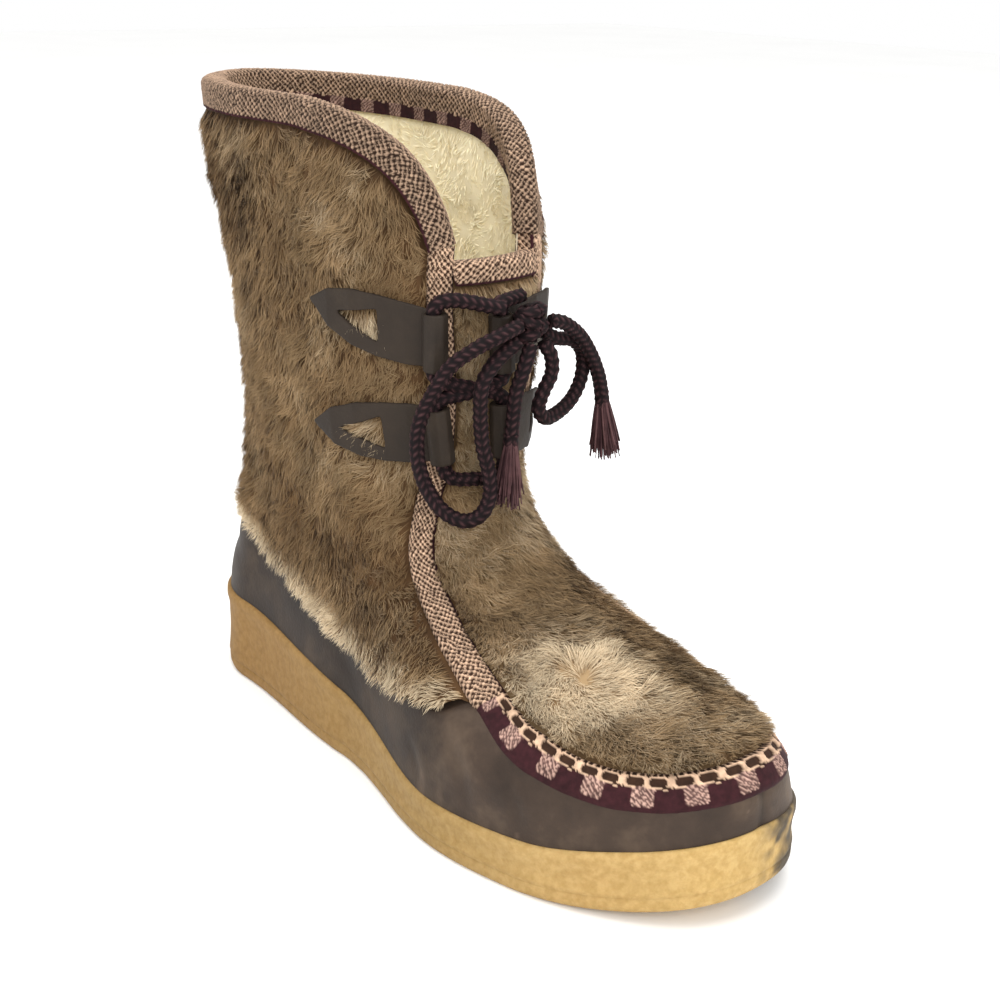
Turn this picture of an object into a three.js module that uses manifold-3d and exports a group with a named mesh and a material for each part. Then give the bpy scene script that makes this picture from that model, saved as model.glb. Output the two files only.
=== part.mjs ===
// Winter boot for the right foot: a plush upper on a crepe wedge, laced through four leather tabs.
// Millimetres. While it is modelled, the back of the sole is at x = 0, the toe points to +x,
// the outer side of the foot is at -y and the floor is z = 0.
import * as THREE from 'three';
import Module from 'manifold-3d';

// Driving sizes
const SOLE_LENGTH = 268;
const BALL_WIDTH = 100;
const HEEL_STACK = 33;
const BALL_STACK = 17;
const TOE_STACK = 21;
const TOE_SPRING = 8.5;
const UPPER_RISE = 194;
const SOLE_RIM = 2.7;
const GROOVE_HEIGHT = 5;
const GROOVE_DEPTH = 1.0;
const INSOLE = 4;
const WALL = 3.5;
const LEATHER = 1.4;
const PILE = 4.6;
const LOCK_LENGTH = 15;
const LOCK_LIFT = 2.4;
const LOCK_SPREAD = 0.25;
const LOCK_SIDES = 1.8;
const LOCK_CREST = 0.7;
const LOCK_ROOT = 3.2;
const LOCK_VARY = 0.4;
const RIM_FROM = 6.5;
const RIM_FULL = 2.5;
const RIM_EDGE = 0.8;
const TRIM = 1.2;
const TRIM_WIDTH = 12;
const COLLAR_TRIM_OUT = 8;
const COLLAR_TRIM_IN = 11.5;
const TAB_LENGTH = 47;
const TAB_WIDTH = 21;
const CORD = 4.6;
const TUNNEL_WALL = 1.4;
const GAP = 0.3;

const TOE_TOP = TOE_STACK + TOE_SPRING;
const SPRING_FROM = 0.78;
const FLANGE = GAP + LEATHER;
const TRIM_BASE = FLANGE + GAP;
const TAB_BASE = PILE + GAP;
const REACH_IN = 4;
const REACH_OUT = 10;
const EDGE_GAP = 2.5 * GAP;
const SIDE_GAP = 2.5 * GAP;
const INNER_GAP = 4 * GAP;

// Tables: the names of the columns, then a row for each section
function tableOf(names, rows) {
  const keys = names.split(' ');
  const slopes = rows.map((row, i) => row.map((value, k) => {
    const before = i > 0 ? (value - rows[i - 1][k]) / (row[0] - rows[i - 1][0]) : null;
    const after = i < rows.length - 1 ? (rows[i + 1][k] - value) / (rows[i + 1][0] - row[0]) : null;
    if (before === null) return after;
    if (after === null) return before;
    return before * after > 0 ? 2 * before * after / (before + after) : 0;
  }));
  return (t) => {
    const last = rows.length - 1;
    const at = Math.min(Math.max(t, rows[0][0]), rows[last][0]);
    let i = 0;
    while (i < last - 1 && at > rows[i + 1][0]) i += 1;
    const h = rows[i + 1][0] - rows[i][0];
    const q = (at - rows[i][0]) / h;
    const p = 1 - q;
    return Object.fromEntries(keys.map((key, k) => [key,
      rows[i][k] * (1 + 2 * q) * p * p + slopes[i][k] * h * q * p * p
      + rows[i + 1][k] * q * q * (3 - 2 * q) - slopes[i + 1][k] * h * q * q * p]));
  };
}

// Top of the wedge along the sole: shares of the heel, ball and toe heights
const wedge = tableOf('at heel ball toe', [
  [0.00, 1.00, 0.00, 0.00],
  [0.12, 1.00, 0.00, 0.00],
  [0.30, 0.76, 0.24, 0.00],
  [0.50, 0.31, 0.69, 0.00],
  [0.65, 0.00, 1.00, 0.00],
  [0.80, 0.00, 0.92, 0.08],
  [0.92, 0.00, 0.45, 0.55],
  [1.00, 0.00, 0.00, 1.00],
]);

// Rings of the upper from the sole to past the collar. back and front are shares of the sole's
// length, backUp and frontUp of the upper's rise, the half widths of the ball's width, and
// backRound and frontRound are the shares of the ring that its two ends take up.
const ring = tableOf(
  'level back backUp front frontUp heel waistOut waistIn ballOut ballIn tipOut tipIn backRound frontRound blunt', [
    [0.00, 0.010, 0.000, 0.990, 0.000, 0.315, 0.385, 0.270, 0.520, 0.430, 0.38, 0.40, 0.125, 0.22, 2.3],
    [0.08, 0.015, 0.046, 0.989, 0.044, 0.310, 0.380, 0.280, 0.520, 0.435, 0.38, 0.38, 0.125, 0.24, 2.2],
    [0.16, 0.022, 0.093, 0.963, 0.101, 0.295, 0.365, 0.290, 0.495, 0.420, 0.35, 0.34, 0.13, 0.30, 2.1],
    [0.24, 0.030, 0.139, 0.892, 0.131, 0.280, 0.350, 0.300, 0.430, 0.380, 0.32, 0.30, 0.14, 0.38, 2.0],
    [0.32, 0.041, 0.191, 0.776, 0.162, 0.270, 0.340, 0.300, 0.370, 0.330, 0.28, 0.25, 0.15, 0.42, 2.0],
    [0.40, 0.056, 0.247, 0.660, 0.204, 0.270, 0.330, 0.300, 0.335, 0.305, 0.26, 0.23, 0.17, 0.42, 2.0],
    [0.48, 0.069, 0.320, 0.571, 0.281, 0.275, 0.335, 0.315, 0.330, 0.305, 0.26, 0.24, 0.20, 0.38, 2.0],
    [0.57, 0.075, 0.407, 0.522, 0.389, 0.290, 0.350, 0.330, 0.345, 0.320, 0.29, 0.27, 0.25, 0.34, 2.0],
    [0.66, 0.071, 0.510, 0.517, 0.518, 0.320, 0.370, 0.360, 0.360, 0.355, 0.31, 0.31, 0.32, 0.33, 2.2],
    [0.75, 0.056, 0.629, 0.519, 0.647, 0.350, 0.385, 0.380, 0.365, 0.370, 0.31, 0.33, 0.38, 0.30, 2.4],
    [0.84, 0.022, 0.758, 0.517, 0.776, 0.370, 0.390, 0.385, 0.365, 0.370, 0.31, 0.33, 0.42, 0.27, 2.5],
    [0.92, -0.015, 0.876, 0.507, 0.894, 0.380, 0.385, 0.380, 0.360, 0.360, 0.30, 0.32, 0.45, 0.27, 2.5],
    [1.00, -0.045, 1.021, 0.489, 1.034, 0.375, 0.375, 0.370, 0.350, 0.350, 0.29, 0.31, 0.48, 0.27, 2.5],
  ]);
const HEEL_AT = 0.12;
const WAIST_AT = 0.40;
const BALL_AT = 0.67;
const WEDGE_FADE = 0.45;

// Free edge of the collar and its notch: how far round from the front, and the level there
const outerEdge = tableOf('around level', [
  [0.000, 0.832], [0.083, 0.832], [0.095, 0.857], [0.117, 0.897], [0.150, 0.928], [0.194, 0.951],
  [0.242, 0.966], [0.297, 0.977], [0.350, 0.983], [0.430, 0.987], [1.000, 0.987],
]);
const innerEdge = tableOf('around level', [
  [0.000, 0.832], [0.110, 0.832], [0.122, 0.857], [0.144, 0.897], [0.177, 0.928], [0.220, 0.951],
  [0.265, 0.966], [0.315, 0.977], [0.362, 0.983], [0.430, 0.987], [1.000, 0.987],
]);
const NOTCH_LEVEL = 0.832;
const NOTCH_OUT = 0.095;
const NOTCH_IN = 0.122;
const NOTCH_CLEAR = 0.019;
const CHANNEL_ENDS = 0.004;
const STEEPEST = 2.4;

// Seam between the front panel and the sides, from the notch (0) down and round to the toe (1)
const seamTable = tableOf('step out in level', [
  [0.00, 0.100, 0.127, 0.898],
  [0.04, 0.113, 0.139, 0.850],
  [0.10, 0.123, 0.149, 0.767],
  [0.18, 0.122, 0.145, 0.690],
  [0.28, 0.144, 0.158, 0.603],
  [0.33, 0.169, 0.177, 0.567],
  [0.42, 0.256, 0.254, 0.477],
  [0.49, 0.300, 0.296, 0.413],
  [0.55, 0.318, 0.314, 0.363],
  [0.61, 0.330, 0.326, 0.303],
  [0.66, 0.328, 0.324, 0.262],
  [0.71, 0.317, 0.313, 0.218],
  [0.76, 0.300, 0.297, 0.177],
  [0.80, 0.269, 0.267, 0.150],
  [0.84, 0.233, 0.232, 0.131],
  [0.88, 0.194, 0.194, 0.120],
  [0.92, 0.150, 0.150, 0.117],
  [0.96, 0.085, 0.085, 0.122],
  [1.00, 0.000, 0.000, 0.128],
]);
const SEAM_LEAVES_LEATHER = 0.71;
const RIBBON_START = 0.017;
const OVERSHOOT = 0.03;

// Top of the leather band behind the seam, on both sides of the foot
const bandTop = tableOf('around level', [
  [0.315, 0.218], [0.350, 0.213], [0.380, 0.190], [0.440, 0.163], [0.500, 0.133], [0.550, 0.136],
  [0.610, 0.160], [0.700, 0.212], [0.770, 0.262], [0.880, 0.288], [1.000, 0.295],
]);

// Leather tab: half its width along it, from the lacing edge (0) to its point (1)
const tabHalf = tableOf('along half', [
  [0.00, 0.92], [0.10, 1.00], [0.35, 1.00], [0.60, 0.90], [0.80, 0.62], [1.00, 0.03],
]);
const TAB_HOLE = { apex: 0.76, base: 0.45, half: 0.27 };
const TABS = [
  { name: 'tab_outer_upper', side: 1, around: 0.106, level: 0.748, tilt: 0.20 },
  { name: 'tab_outer_lower', side: 1, around: 0.108, level: 0.637, tilt: -0.07 },
  { name: 'tab_inner_upper', side: -1, around: 0.040, level: 0.742, tilt: 0.14 },
  { name: 'tab_inner_lower', side: -1, around: 0.044, level: 0.637, tilt: -0.07 },
];

// Colours and finishes
function finish(color, roughness) {
  return new THREE.MeshStandardMaterial({ color, roughness, metalness: 0 });
}
const crepe = finish(0xc49a58, 0.75);
const fleece = finish(0xe6dca8, 0.95);
const lining = finish(0xdcd2a0, 0.95);
const leather = finish(0x4b413a, 0.6);
const plush = finish(0x7d6950, 0.95);
const ribbon = finish(0x63343a, 0.85);
const tabLeather = finish(0x504840, 0.6);
const cordFinish = finish(0x2f1a20, 0.8);

// Shape of the upper
function blend(a, b, share) {
  const q = Math.min(Math.max(share, 0), 1);
  return a + (b - a) * q * q * (3 - 2 * q);
}

function endRound(s, row) {
  const back = Math.min(Math.max(1 - s / row.backRound, 0), 1);
  const front = Math.min(Math.max((s - 1 + row.frontRound) / row.frontRound, 0), 1);
  return Math.sqrt(1 - back * back) * Math.pow(1 - Math.pow(front, row.blunt), 1 / row.blunt);
}

function halfWidth(row, s, outer) {
  const waist = outer ? row.waistOut : row.waistIn;
  const ball = outer ? row.ballOut : row.ballIn;
  const tip = outer ? row.tipOut : row.tipIn;
  let half = blend(row.heel, waist, (s - HEEL_AT) / (WAIST_AT - HEEL_AT));
  if (s > WAIST_AT) half = blend(waist, ball, (s - WAIST_AT) / (BALL_AT - WAIST_AT));
  if (s > BALL_AT) half = blend(ball, tip, (s - BALL_AT) / (1 - BALL_AT));
  return half * BALL_WIDTH * endRound(s, row);
}

function soleTop(x) {
  const row = wedge(x / SOLE_LENGTH);
  return row.heel * HEEL_STACK + row.ball * BALL_STACK + row.toe * TOE_TOP;
}

function soleBottom(x) {
  const past = Math.max(x / SOLE_LENGTH - SPRING_FROM, 0) / (1 - SPRING_FROM);
  return TOE_SPRING * past * past;
}

// A point of the upper's outer face. around runs from 0 at the front centre to 1 at the back
// centre on the outer side of the foot and to -1 on the inner side; level from sole to collar.
function face(around, level) {
  const turn = around > 1 ? around - 2 : around < -1 ? around + 2 : around;
  const row = ring(level);
  const s = (1 + Math.cos(Math.PI * turn)) / 2;
  const x = (row.back + (row.front - row.back) * s) * SOLE_LENGTH;
  const y = halfWidth(row, s, turn >= 0) * (turn >= 0 ? -1 : 1);
  const chord = HEEL_STACK + (TOE_TOP - HEEL_STACK) * s;
  const sag = (soleTop(x) - chord) * Math.pow(Math.max(1 - level / WEDGE_FADE, 0), 1.5);
  const z = chord + GAP + (row.backUp + (row.frontUp - row.backUp) * s) * UPPER_RISE + sag;
  return new THREE.Vector3(x, y, z);
}

function frameAt(around, level) {
  const e = 0.002;
  const low = Math.min(Math.max(level - e, 0), 1 - 2 * e);
  const alongRing = face(around + e, level).sub(face(around - e, level)).divideScalar(2 * e);
  const upward = face(around, low + 2 * e).sub(face(around, low)).divideScalar(2 * e);
  const normal = new THREE.Vector3().crossVectors(upward, alongRing).normalize();
  return { alongRing, upward, normal };
}

// The same point moved out by depth millimetres, or into the wall where depth is negative
function skin(around, level, depth) {
  return face(around, level).addScaledVector(frameAt(around, level).normal, depth);
}

// Moves a place on the surface by a small vector that lies in the surface
function slide(place, move) {
  const { alongRing, upward } = frameAt(place.around, place.level);
  const aa = alongRing.dot(alongRing);
  const bb = upward.dot(upward);
  const ab = alongRing.dot(upward);
  const am = alongRing.dot(move);
  const bm = upward.dot(move);
  const det = aa * bb - ab * ab;
  return {
    around: place.around + (am * bb - bm * ab) / det,
    level: place.level + (bm * aa - am * ab) / det,
  };
}

// Walks over the surface, back round the leg and up it, in millimetres
function walk(place, side, back, up) {
  const steps = 10;
  let here = place;
  for (let i = 0; i < steps; i += 1) {
    const { alongRing, upward } = frameAt(here.around, here.level);
    const round = alongRing.clone().normalize().multiplyScalar(side * back / steps);
    const rise = upward.clone().normalize().multiplyScalar(up / steps);
    here = slide(here, round.add(rise));
  }
  return here;
}

// A place beside a path on the surface, aside millimetres to its left and ahead of it
function beside(path, t, aside, ahead = 0) {
  const e = 0.004;
  const before = path(Math.max(t - e, 0));
  const after = path(Math.min(t + e, 1));
  const here = path(t);
  const along = face(after.around, after.level).sub(face(before.around, before.level)).normalize();
  const { normal } = frameAt(here.around, here.level);
  const left = new THREE.Vector3().crossVectors(normal, along);
  return slide(here, left.multiplyScalar(aside).addScaledVector(along, ahead));
}

function seam(side) {
  return (t) => {
    const row = seamTable(t);
    return { around: side * (side > 0 ? row.out : row.in), level: row.level };
  };
}

// The whole seam, from the notch on the outer side round the toe to the notch on the inner side
function wholeSeam(t) {
  return t < 0.5 ? seam(1)(t * 2) : seam(-1)(2 - t * 2);
}

// The length of the seam that its ribbon follows
function ribbonRun(t) {
  return wholeSeam(RIBBON_START + (1 - 2 * RIBBON_START) * t);
}

function edgeLevel(around) {
  const turn = around > 1 ? around - 2 : around;
  return (turn >= 0 ? outerEdge : innerEdge)(Math.abs(turn)).level;
}

// The free edge from the notch's inner corner back round the leg to its outer corner
function collarEdge(t) {
  const around = NOTCH_OUT + blend(0, 1, 1 - t) * (2 - NOTCH_OUT - NOTCH_IN);
  return { around, level: edgeLevel(around) };
}

function notchEdge(t) {
  const around = NOTCH_OUT - NOTCH_CLEAR - (NOTCH_OUT + NOTCH_IN - 2 * NOTCH_CLEAR) * t;
  return { around, level: NOTCH_LEVEL };
}

// Solids
function weld(points, faces) {
  const seen = new Map();
  const kept = [];
  const index = points.map((p) => {
    const key = [p.x, p.y, p.z].map((value) => Math.round(value * 5000)).join();
    if (!seen.has(key)) {
      seen.set(key, kept.length);
      kept.push(p);
    }
    return seen.get(key);
  });
  const solid = faces.map((f) => f.map((i) => index[i]))
    .filter(([a, b, c]) => a !== b && b !== c && a !== c);
  const volume = solid.reduce((sum, [a, b, c]) => (
    sum + kept[a].dot(new THREE.Vector3().crossVectors(kept[b], kept[c]))), 0);
  const geometry = new THREE.BufferGeometry();
  geometry.setAttribute('position',
    new THREE.Float32BufferAttribute(kept.flatMap((p) => [p.x, p.y, p.z]), 3));
  geometry.setIndex(solid.flatMap(([a, b, c]) => (volume > 0 ? [a, b, c] : [a, c, b])));
  geometry.computeVertexNormals();
  return geometry;
}

function quad(a, b, c, d) {
  return [[a, b, c], [a, c, d]];
}

// A sheet with thickness: point(i, j, 0) is on its outer face and point(i, j, 1) on its inner face
function shell(rows, columns, point, { wrap = false, openEnd = false } = {}) {
  const points = [];
  const faces = [];
  const at = (i, j, under) => (under * rows + i) * columns + (wrap ? j % columns : j);
  for (const under of [0, 1]) {
    for (let i = 0; i < rows; i += 1) {
      for (let j = 0; j < columns; j += 1) points.push(point(i, j, under));
    }
  }
  const spans = wrap ? columns : columns - 1;
  for (let i = 0; i < rows - 1; i += 1) {
    for (let j = 0; j < spans; j += 1) {
      faces.push(...quad(at(i, j, 0), at(i, j + 1, 0), at(i + 1, j + 1, 0), at(i + 1, j, 0)));
      faces.push(...quad(at(i, j, 1), at(i + 1, j, 1), at(i + 1, j + 1, 1), at(i, j + 1, 1)));
    }
    if (!wrap) {
      faces.push(...quad(at(i, 0, 0), at(i + 1, 0, 0), at(i + 1, 0, 1), at(i, 0, 1)));
      const end = columns - 1;
      faces.push(...quad(at(i, end, 0), at(i, end, 1), at(i + 1, end, 1), at(i + 1, end, 0)));
    }
  }
  for (let j = 0; j < spans; j += 1) {
    faces.push(...quad(at(0, j, 0), at(0, j, 1), at(0, j + 1, 1), at(0, j + 1, 0)));
    if (!openEnd) {
      const end = rows - 1;
      faces.push(...quad(at(end, j, 0), at(end, j + 1, 0), at(end, j + 1, 1), at(end, j, 1)));
    }
  }
  return weld(points, faces);
}

// A slab with the foot's outline: levels are rows of inset and height from the floor up
function footSlab(stations, levels, reach) {
  const row = ring(0);
  const outline = (s, outer, level) => {
    const { inset, height } = level;
    const grow = reach - inset;
    const start = row.back * SOLE_LENGTH - grow;
    const end = row.front * SOLE_LENGTH + grow;
    const x = start + (end - start) * s;
    const half = halfWidth(row, s, outer) + grow * endRound(s, row);
    return new THREE.Vector3(x, outer ? -half : half, height(x));
  };
  const shares = Array.from({ length: stations + 1 },
    (_, i) => (1 - Math.cos(Math.PI * i / stations)) / 2);
  const points = [];
  for (const level of levels) {
    for (const outer of [true, false]) {
      for (const s of shares) points.push(outline(s, outer, level));
    }
  }
  const side = stations + 1;
  const at = (k, outer, i) => (k * 2 + (outer ? 0 : 1)) * side + i;
  const faces = [];
  for (let i = 0; i < stations; i += 1) {
    for (let k = 0; k < levels.length - 1; k += 1) {
      faces.push(...quad(at(k, true, i), at(k, true, i + 1), at(k + 1, true, i + 1), at(k + 1, true, i)));
      faces.push(...quad(at(k, false, i), at(k + 1, false, i), at(k + 1, false, i + 1), at(k, false, i + 1)));
    }
    const top = levels.length - 1;
    faces.push(...quad(at(0, true, i), at(0, false, i), at(0, false, i + 1), at(0, true, i + 1)));
    faces.push(...quad(at(top, true, i), at(top, true, i + 1), at(top, false, i + 1), at(top, false, i)));
  }
  return weld(points, faces);
}

// Joins and cuts
const wasm = await Module();
wasm.setup();

function toSolid(geometry) {
  const plain = geometry.index ? geometry.toNonIndexed() : geometry;
  const position = plain.getAttribute('position');
  const points = Array.from({ length: position.count },
    (_, i) => new THREE.Vector3().fromBufferAttribute(position, i));
  const faces = Array.from({ length: position.count / 3 }, (_, i) => [3 * i, 3 * i + 1, 3 * i + 2]);
  const welded = weld(points, faces);
  return new wasm.Manifold(new wasm.Mesh({
    numProp: 3,
    vertProperties: new Float32Array(welded.getAttribute('position').array),
    triVerts: new Uint32Array(welded.index.array),
  }));
}

function fromSolid(solid) {
  const mesh = solid.getMesh();
  const geometry = new THREE.BufferGeometry();
  geometry.setAttribute('position', new THREE.Float32BufferAttribute(mesh.vertProperties, 3));
  geometry.setIndex(Array.from(mesh.triVerts));
  geometry.computeVertexNormals();
  return geometry;
}

// A small repeatable scatter, the same on every run
function scatter(seed) {
  let state = seed;
  return () => {
    state = (state * 1664525 + 1013904223) % 4294967296;
    return state / 4294967296;
  };
}

// A tuft of fur: a slim wedge that leaves the pile at its root and lifts towards its tip
function lock(place, flow, random) {
  const { alongRing, upward, normal } = frameAt(place.around, place.level);
  const way = upward.clone().normalize().multiplyScalar(-1)
    .addScaledVector(alongRing.clone().normalize(), flow).normalize();
  const length = LOCK_LENGTH * (0.8 + LOCK_VARY * random());
  const tip = slide(place, way.clone().multiplyScalar(length));
  const across = new THREE.Vector3().crossVectors(normal, way).multiplyScalar(length * LOCK_SPREAD);
  const left = slide(place, across);
  const right = slide(place, across.clone().negate());
  const points = [
    skin(left.around, left.level, PILE - LOCK_SIDES),
    skin(right.around, right.level, PILE - LOCK_SIDES),
    skin(place.around, place.level, PILE + LOCK_CREST),
    skin(place.around, place.level, PILE - LOCK_ROOT),
    skin(tip.around, tip.level, PILE + LOCK_LIFT * (0.6 + LOCK_VARY * random())),
  ];
  return weld(points, [[0, 2, 1], [0, 1, 3], [0, 4, 2], [2, 4, 1], [1, 4, 3], [3, 4, 0]]);
}

function nearTab(place, margin) {
  const here = face(place.around, place.level);
  return TABS.some((tab) => [0, 0.3, 0.6, 0.9].some((share) => {
    const along = share * TAB_LENGTH;
    const spot = walk(tab, tab.side, along * Math.cos(tab.tilt), along * Math.sin(tab.tilt));
    return face(spot.around, spot.level).distanceTo(here) < TAB_WIDTH / 2 + margin;
  }));
}

const JITTER = 0.012;

function addLocks(solid, places, flowAt, seed) {
  const random = scatter(seed);
  let furry = solid;
  for (const place of places) {
    const spot = {
      around: place.around + (random() - 0.5) * JITTER,
      level: place.level + (random() - 0.5) * JITTER,
    };
    const tuft = lock(spot, flowAt(spot), random);
    if (!nearTab(spot, LOCK_LENGTH * 0.7)) furry = furry.add(toSolid(tuft));
  }
  return furry;
}

// Sole, insole and the upper's hollow wall
function makeSole() {
  const raise = (up) => (x) => soleBottom(x) + up;
  const below = (down) => (x) => soleTop(x) - down;
  return footSlab(26, [
    { inset: 2.2, height: raise(0) },
    { inset: 0.9, height: raise(1.0) },
    { inset: 0.5, height: raise(GROOVE_HEIGHT - 0.7) },
    { inset: 0.5 + GROOVE_DEPTH, height: raise(GROOVE_HEIGHT) },
    { inset: 0.3, height: raise(GROOVE_HEIGHT + 0.9) },
    { inset: 0.6, height: below(RIM_FROM) },
    { inset: 0.0, height: below(RIM_FULL) },
    { inset: 0.0, height: below(RIM_EDGE) },
    { inset: 0.8, height: below(0) },
  ], SOLE_RIM);
}

function makeInsole() {
  const over = (up) => (x) => soleTop(x) + up;
  const inset = WALL + 1.2;
  return footSlab(16, [
    { inset, height: over(GAP) },
    { inset: inset + 0.6, height: over(GAP + INSOLE) },
  ], 0);
}

// The upper is a grid of faces. Every piece that lies on it is cut from the same grid at other
// depths, so that its faces stay parallel to the upper's.
const COLUMNS = [0, 0.05, 0.083, 0.095, 0.115, 0.15, 0.20, 0.265, 0.34, 0.42, 0.51, 0.60, 0.68, 0.75, 0.83, 0.915];
const CORNER_COLUMN = 2;
const UPPER_ROWS = 13;
const EDGE_STRAIGHT = 0.43;

function gridColumns() {
  const inner = COLUMNS.slice(1).map((around) => {
    const whole = NOTCH_IN - NOTCH_OUT;
    const shift = whole * Math.min(around / NOTCH_OUT, 1);
    const fade = Math.min(Math.max((EDGE_STRAIGHT - around) / 0.2, 0), 1);
    return -(around + shift * fade);
  });
  return [...COLUMNS, 1, ...inner.reverse()];
}

function gridPoint(around, i, depth, above = 0) {
  const last = UPPER_ROWS - 1;
  const edge = { around, level: edgeLevel(around) };
  const rise = frameAt(around, edge.level).upward.normalize().multiplyScalar(above);
  const level = i < last ? edge.level * i / last : slide(edge, rise).level;
  const point = skin(around, level, depth);
  if (i === 0) point.z = soleTop(point.x) + GAP;
  return point;
}

function ringShell(inside, outside, above = 0) {
  const columns = gridColumns();
  return shell(UPPER_ROWS, columns.length, (i, j, under) => (
    gridPoint(columns[j], i, under ? inside : outside, above)
  ), { wrap: true });
}

function makeUpper() {
  return ringShell(-WALL, 0);
}

// Samples along the seam, shared by the pieces on both sides of it
const SEAM_SIDE_STEPS = 11;
const SEAM_TOE_STEPS = 7;
const BAND_STEPS = 8;

function seamStep(k) {
  if (k <= SEAM_SIDE_STEPS) return SEAM_LEAVES_LEATHER * k / SEAM_SIDE_STEPS;
  return SEAM_LEAVES_LEATHER + (1 - SEAM_LEAVES_LEATHER) * (k - SEAM_SIDE_STEPS) / SEAM_TOE_STEPS;
}

function bandAround(side, share) {
  const from = seamTable(SEAM_LEAVES_LEATHER)[side > 0 ? 'out' : 'in'];
  return from + (1 - from) * share;
}

// The part of the surface that belongs to one piece, as a block that reaches in and out of it
function block(rows, columns, placeAt, options) {
  return toSolid(shell(rows, columns, (i, j, under) => {
    const { around, level, drop = 0 } = placeAt(i, j);
    const point = skin(around, level, under ? -REACH_IN : REACH_OUT);
    point.z -= drop;
    return point;
  }, options));
}

function centreSlab() {
  const slab = new THREE.BoxGeometry(SOLE_LENGTH * 2, GAP, UPPER_RISE * 4);
  return toSolid(slab);
}

function bandBlock(side) {
  const rows = 4;
  const columns = SEAM_TOE_STEPS + 1 + BAND_STEPS;
  return block(rows, columns, (i, j) => {
    let top;
    if (j >= BAND_STEPS) {
      top = beside(seam(side), seamStep(SEAM_SIDE_STEPS + j - BAND_STEPS), -side * GAP / 2);
    } else {
      const around = bandAround(side, 1 - j / BAND_STEPS);
      top = { around: side * around, level: bandTop(around).level };
    }
    if (j === columns - 1) top.around = 0;
    const share = Math.max(i - 1, 0) / (rows - 2);
    return { around: top.around, level: top.level * share, drop: i === 0 ? REACH_IN * 2 : 0 };
  });
}

// One side: between the front seam, the collar, the back seam and the leather band
function sidePlace(side, c, a) {
  const above = 0.002;
  const bottom = (q) => {
    const around = bandAround(side, q);
    return new THREE.Vector2(around, bandTop(around).level + above);
  };
  const top = (q) => {
    const from = seamTable(0)[side > 0 ? 'out' : 'in'];
    const around = from + (1 - from) * q;
    return new THREE.Vector2(around, Math.min(edgeLevel(side * around) + OVERSHOOT, 1));
  };
  const front = (q) => {
    const place = beside(seam(side), SEAM_LEAVES_LEATHER * (1 - q), -side * GAP / 2);
    return new THREE.Vector2(side * place.around, place.level);
  };
  const back = (q) => new THREE.Vector2(1, bottom(1).y + (1 - bottom(1).y) * q);
  const mix = bottom(c).multiplyScalar(1 - a).add(top(c).multiplyScalar(a))
    .add(front(a).multiplyScalar(1 - c)).add(back(a).multiplyScalar(c))
    .sub(front(0).multiplyScalar((1 - c) * (1 - a)))
    .sub(bottom(1).multiplyScalar(c * (1 - a)))
    .sub(front(1).multiplyScalar((1 - c) * a))
    .sub(top(1).multiplyScalar(c * a));
  return { around: side * mix.x, level: mix.y };
}

function sideBlock(side) {
  return block(SEAM_SIDE_STEPS + 1, BAND_STEPS + 1, (i, j) => (
    sidePlace(side, 1 - j / BAND_STEPS, 1 - i / SEAM_SIDE_STEPS)
  ));
}

// The front panel, fanned out from a centre line that ends above the toe
const SPINE_END = 0.20;
const SPINE_REACH = 0.94;
const SPINE_SWAY = 0.35;

function panelPlace(t, side, b) {
  const edge = beside(seam(side), t, side * GAP / 2);
  const start = seamTable(0).level;
  const share = t / SPINE_REACH;
  const spine = start + (SPINE_END - start) * blend(0, 1, share) * SPINE_SWAY
    + (SPINE_END - start) * Math.min(share, 1) * (1 - SPINE_SWAY);
  return { around: edge.around * (1 - b), level: edge.level + (spine - edge.level) * b };
}

function panelBlock() {
  const columns = 9;
  const middle = (columns - 1) / 2;
  const last = SEAM_SIDE_STEPS + SEAM_TOE_STEPS;
  return block(last + 1, columns, (i, j) => {
    const side = j <= middle || i === last ? 1 : -1;
    const place = panelPlace(seamStep(i), side, 1 - Math.abs(j - middle) / middle);
    if (i === last) place.around = 0;
    return place;
  }, { openEnd: true });
}

// Shares of a path that lie evenly along its length
function evenly(path, count) {
  const parts = 240;
  const fine = Array.from({ length: parts + 1 }, (_, i) => path(i / parts))
    .map(({ around, level }) => face(around, level));
  const lengths = fine.map((point, i) => point.distanceTo(fine[Math.max(i - 1, 0)]));
  const total = lengths.reduce((sum, value) => sum + value, 0);
  const shares = [0];
  let run = 0;
  lengths.forEach((length, i) => {
    run += length;
    if (run >= total * shares.length / (count - 1) && shares.length < count - 1) shares.push(i / parts);
  });
  return [...shares, 1];
}

// A run of ribbon with the section of a bar, from depth low to depth high, longer at both ends
// by longer millimetres
function ribbonBar(path, rows, offsets, low, high, longer = 0) {
  const shares = evenly(path, rows);
  return toSolid(shell(rows, offsets.length, (i, j, under) => {
    const ahead = i === 0 ? -longer : i === rows - 1 ? longer : 0;
    const place = beside(path, shares[i], offsets[j], ahead);
    return skin(place.around, place.level, under ? low : high);
  }));
}

const SEAM_ROWS = 38;
const NOTCH_ROWS = 5;
const NOTCH_REACH = 6;
const RIBBON_TOP = TRIM_BASE + TRIM;
const RIBBON_INSIDE = -WALL - GAP - TRIM;

// Free edges: the ribbon stands over the edge by its own thickness
function edgeOffsets(reach) {
  return [-reach, EDGE_GAP + TRIM];
}

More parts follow.
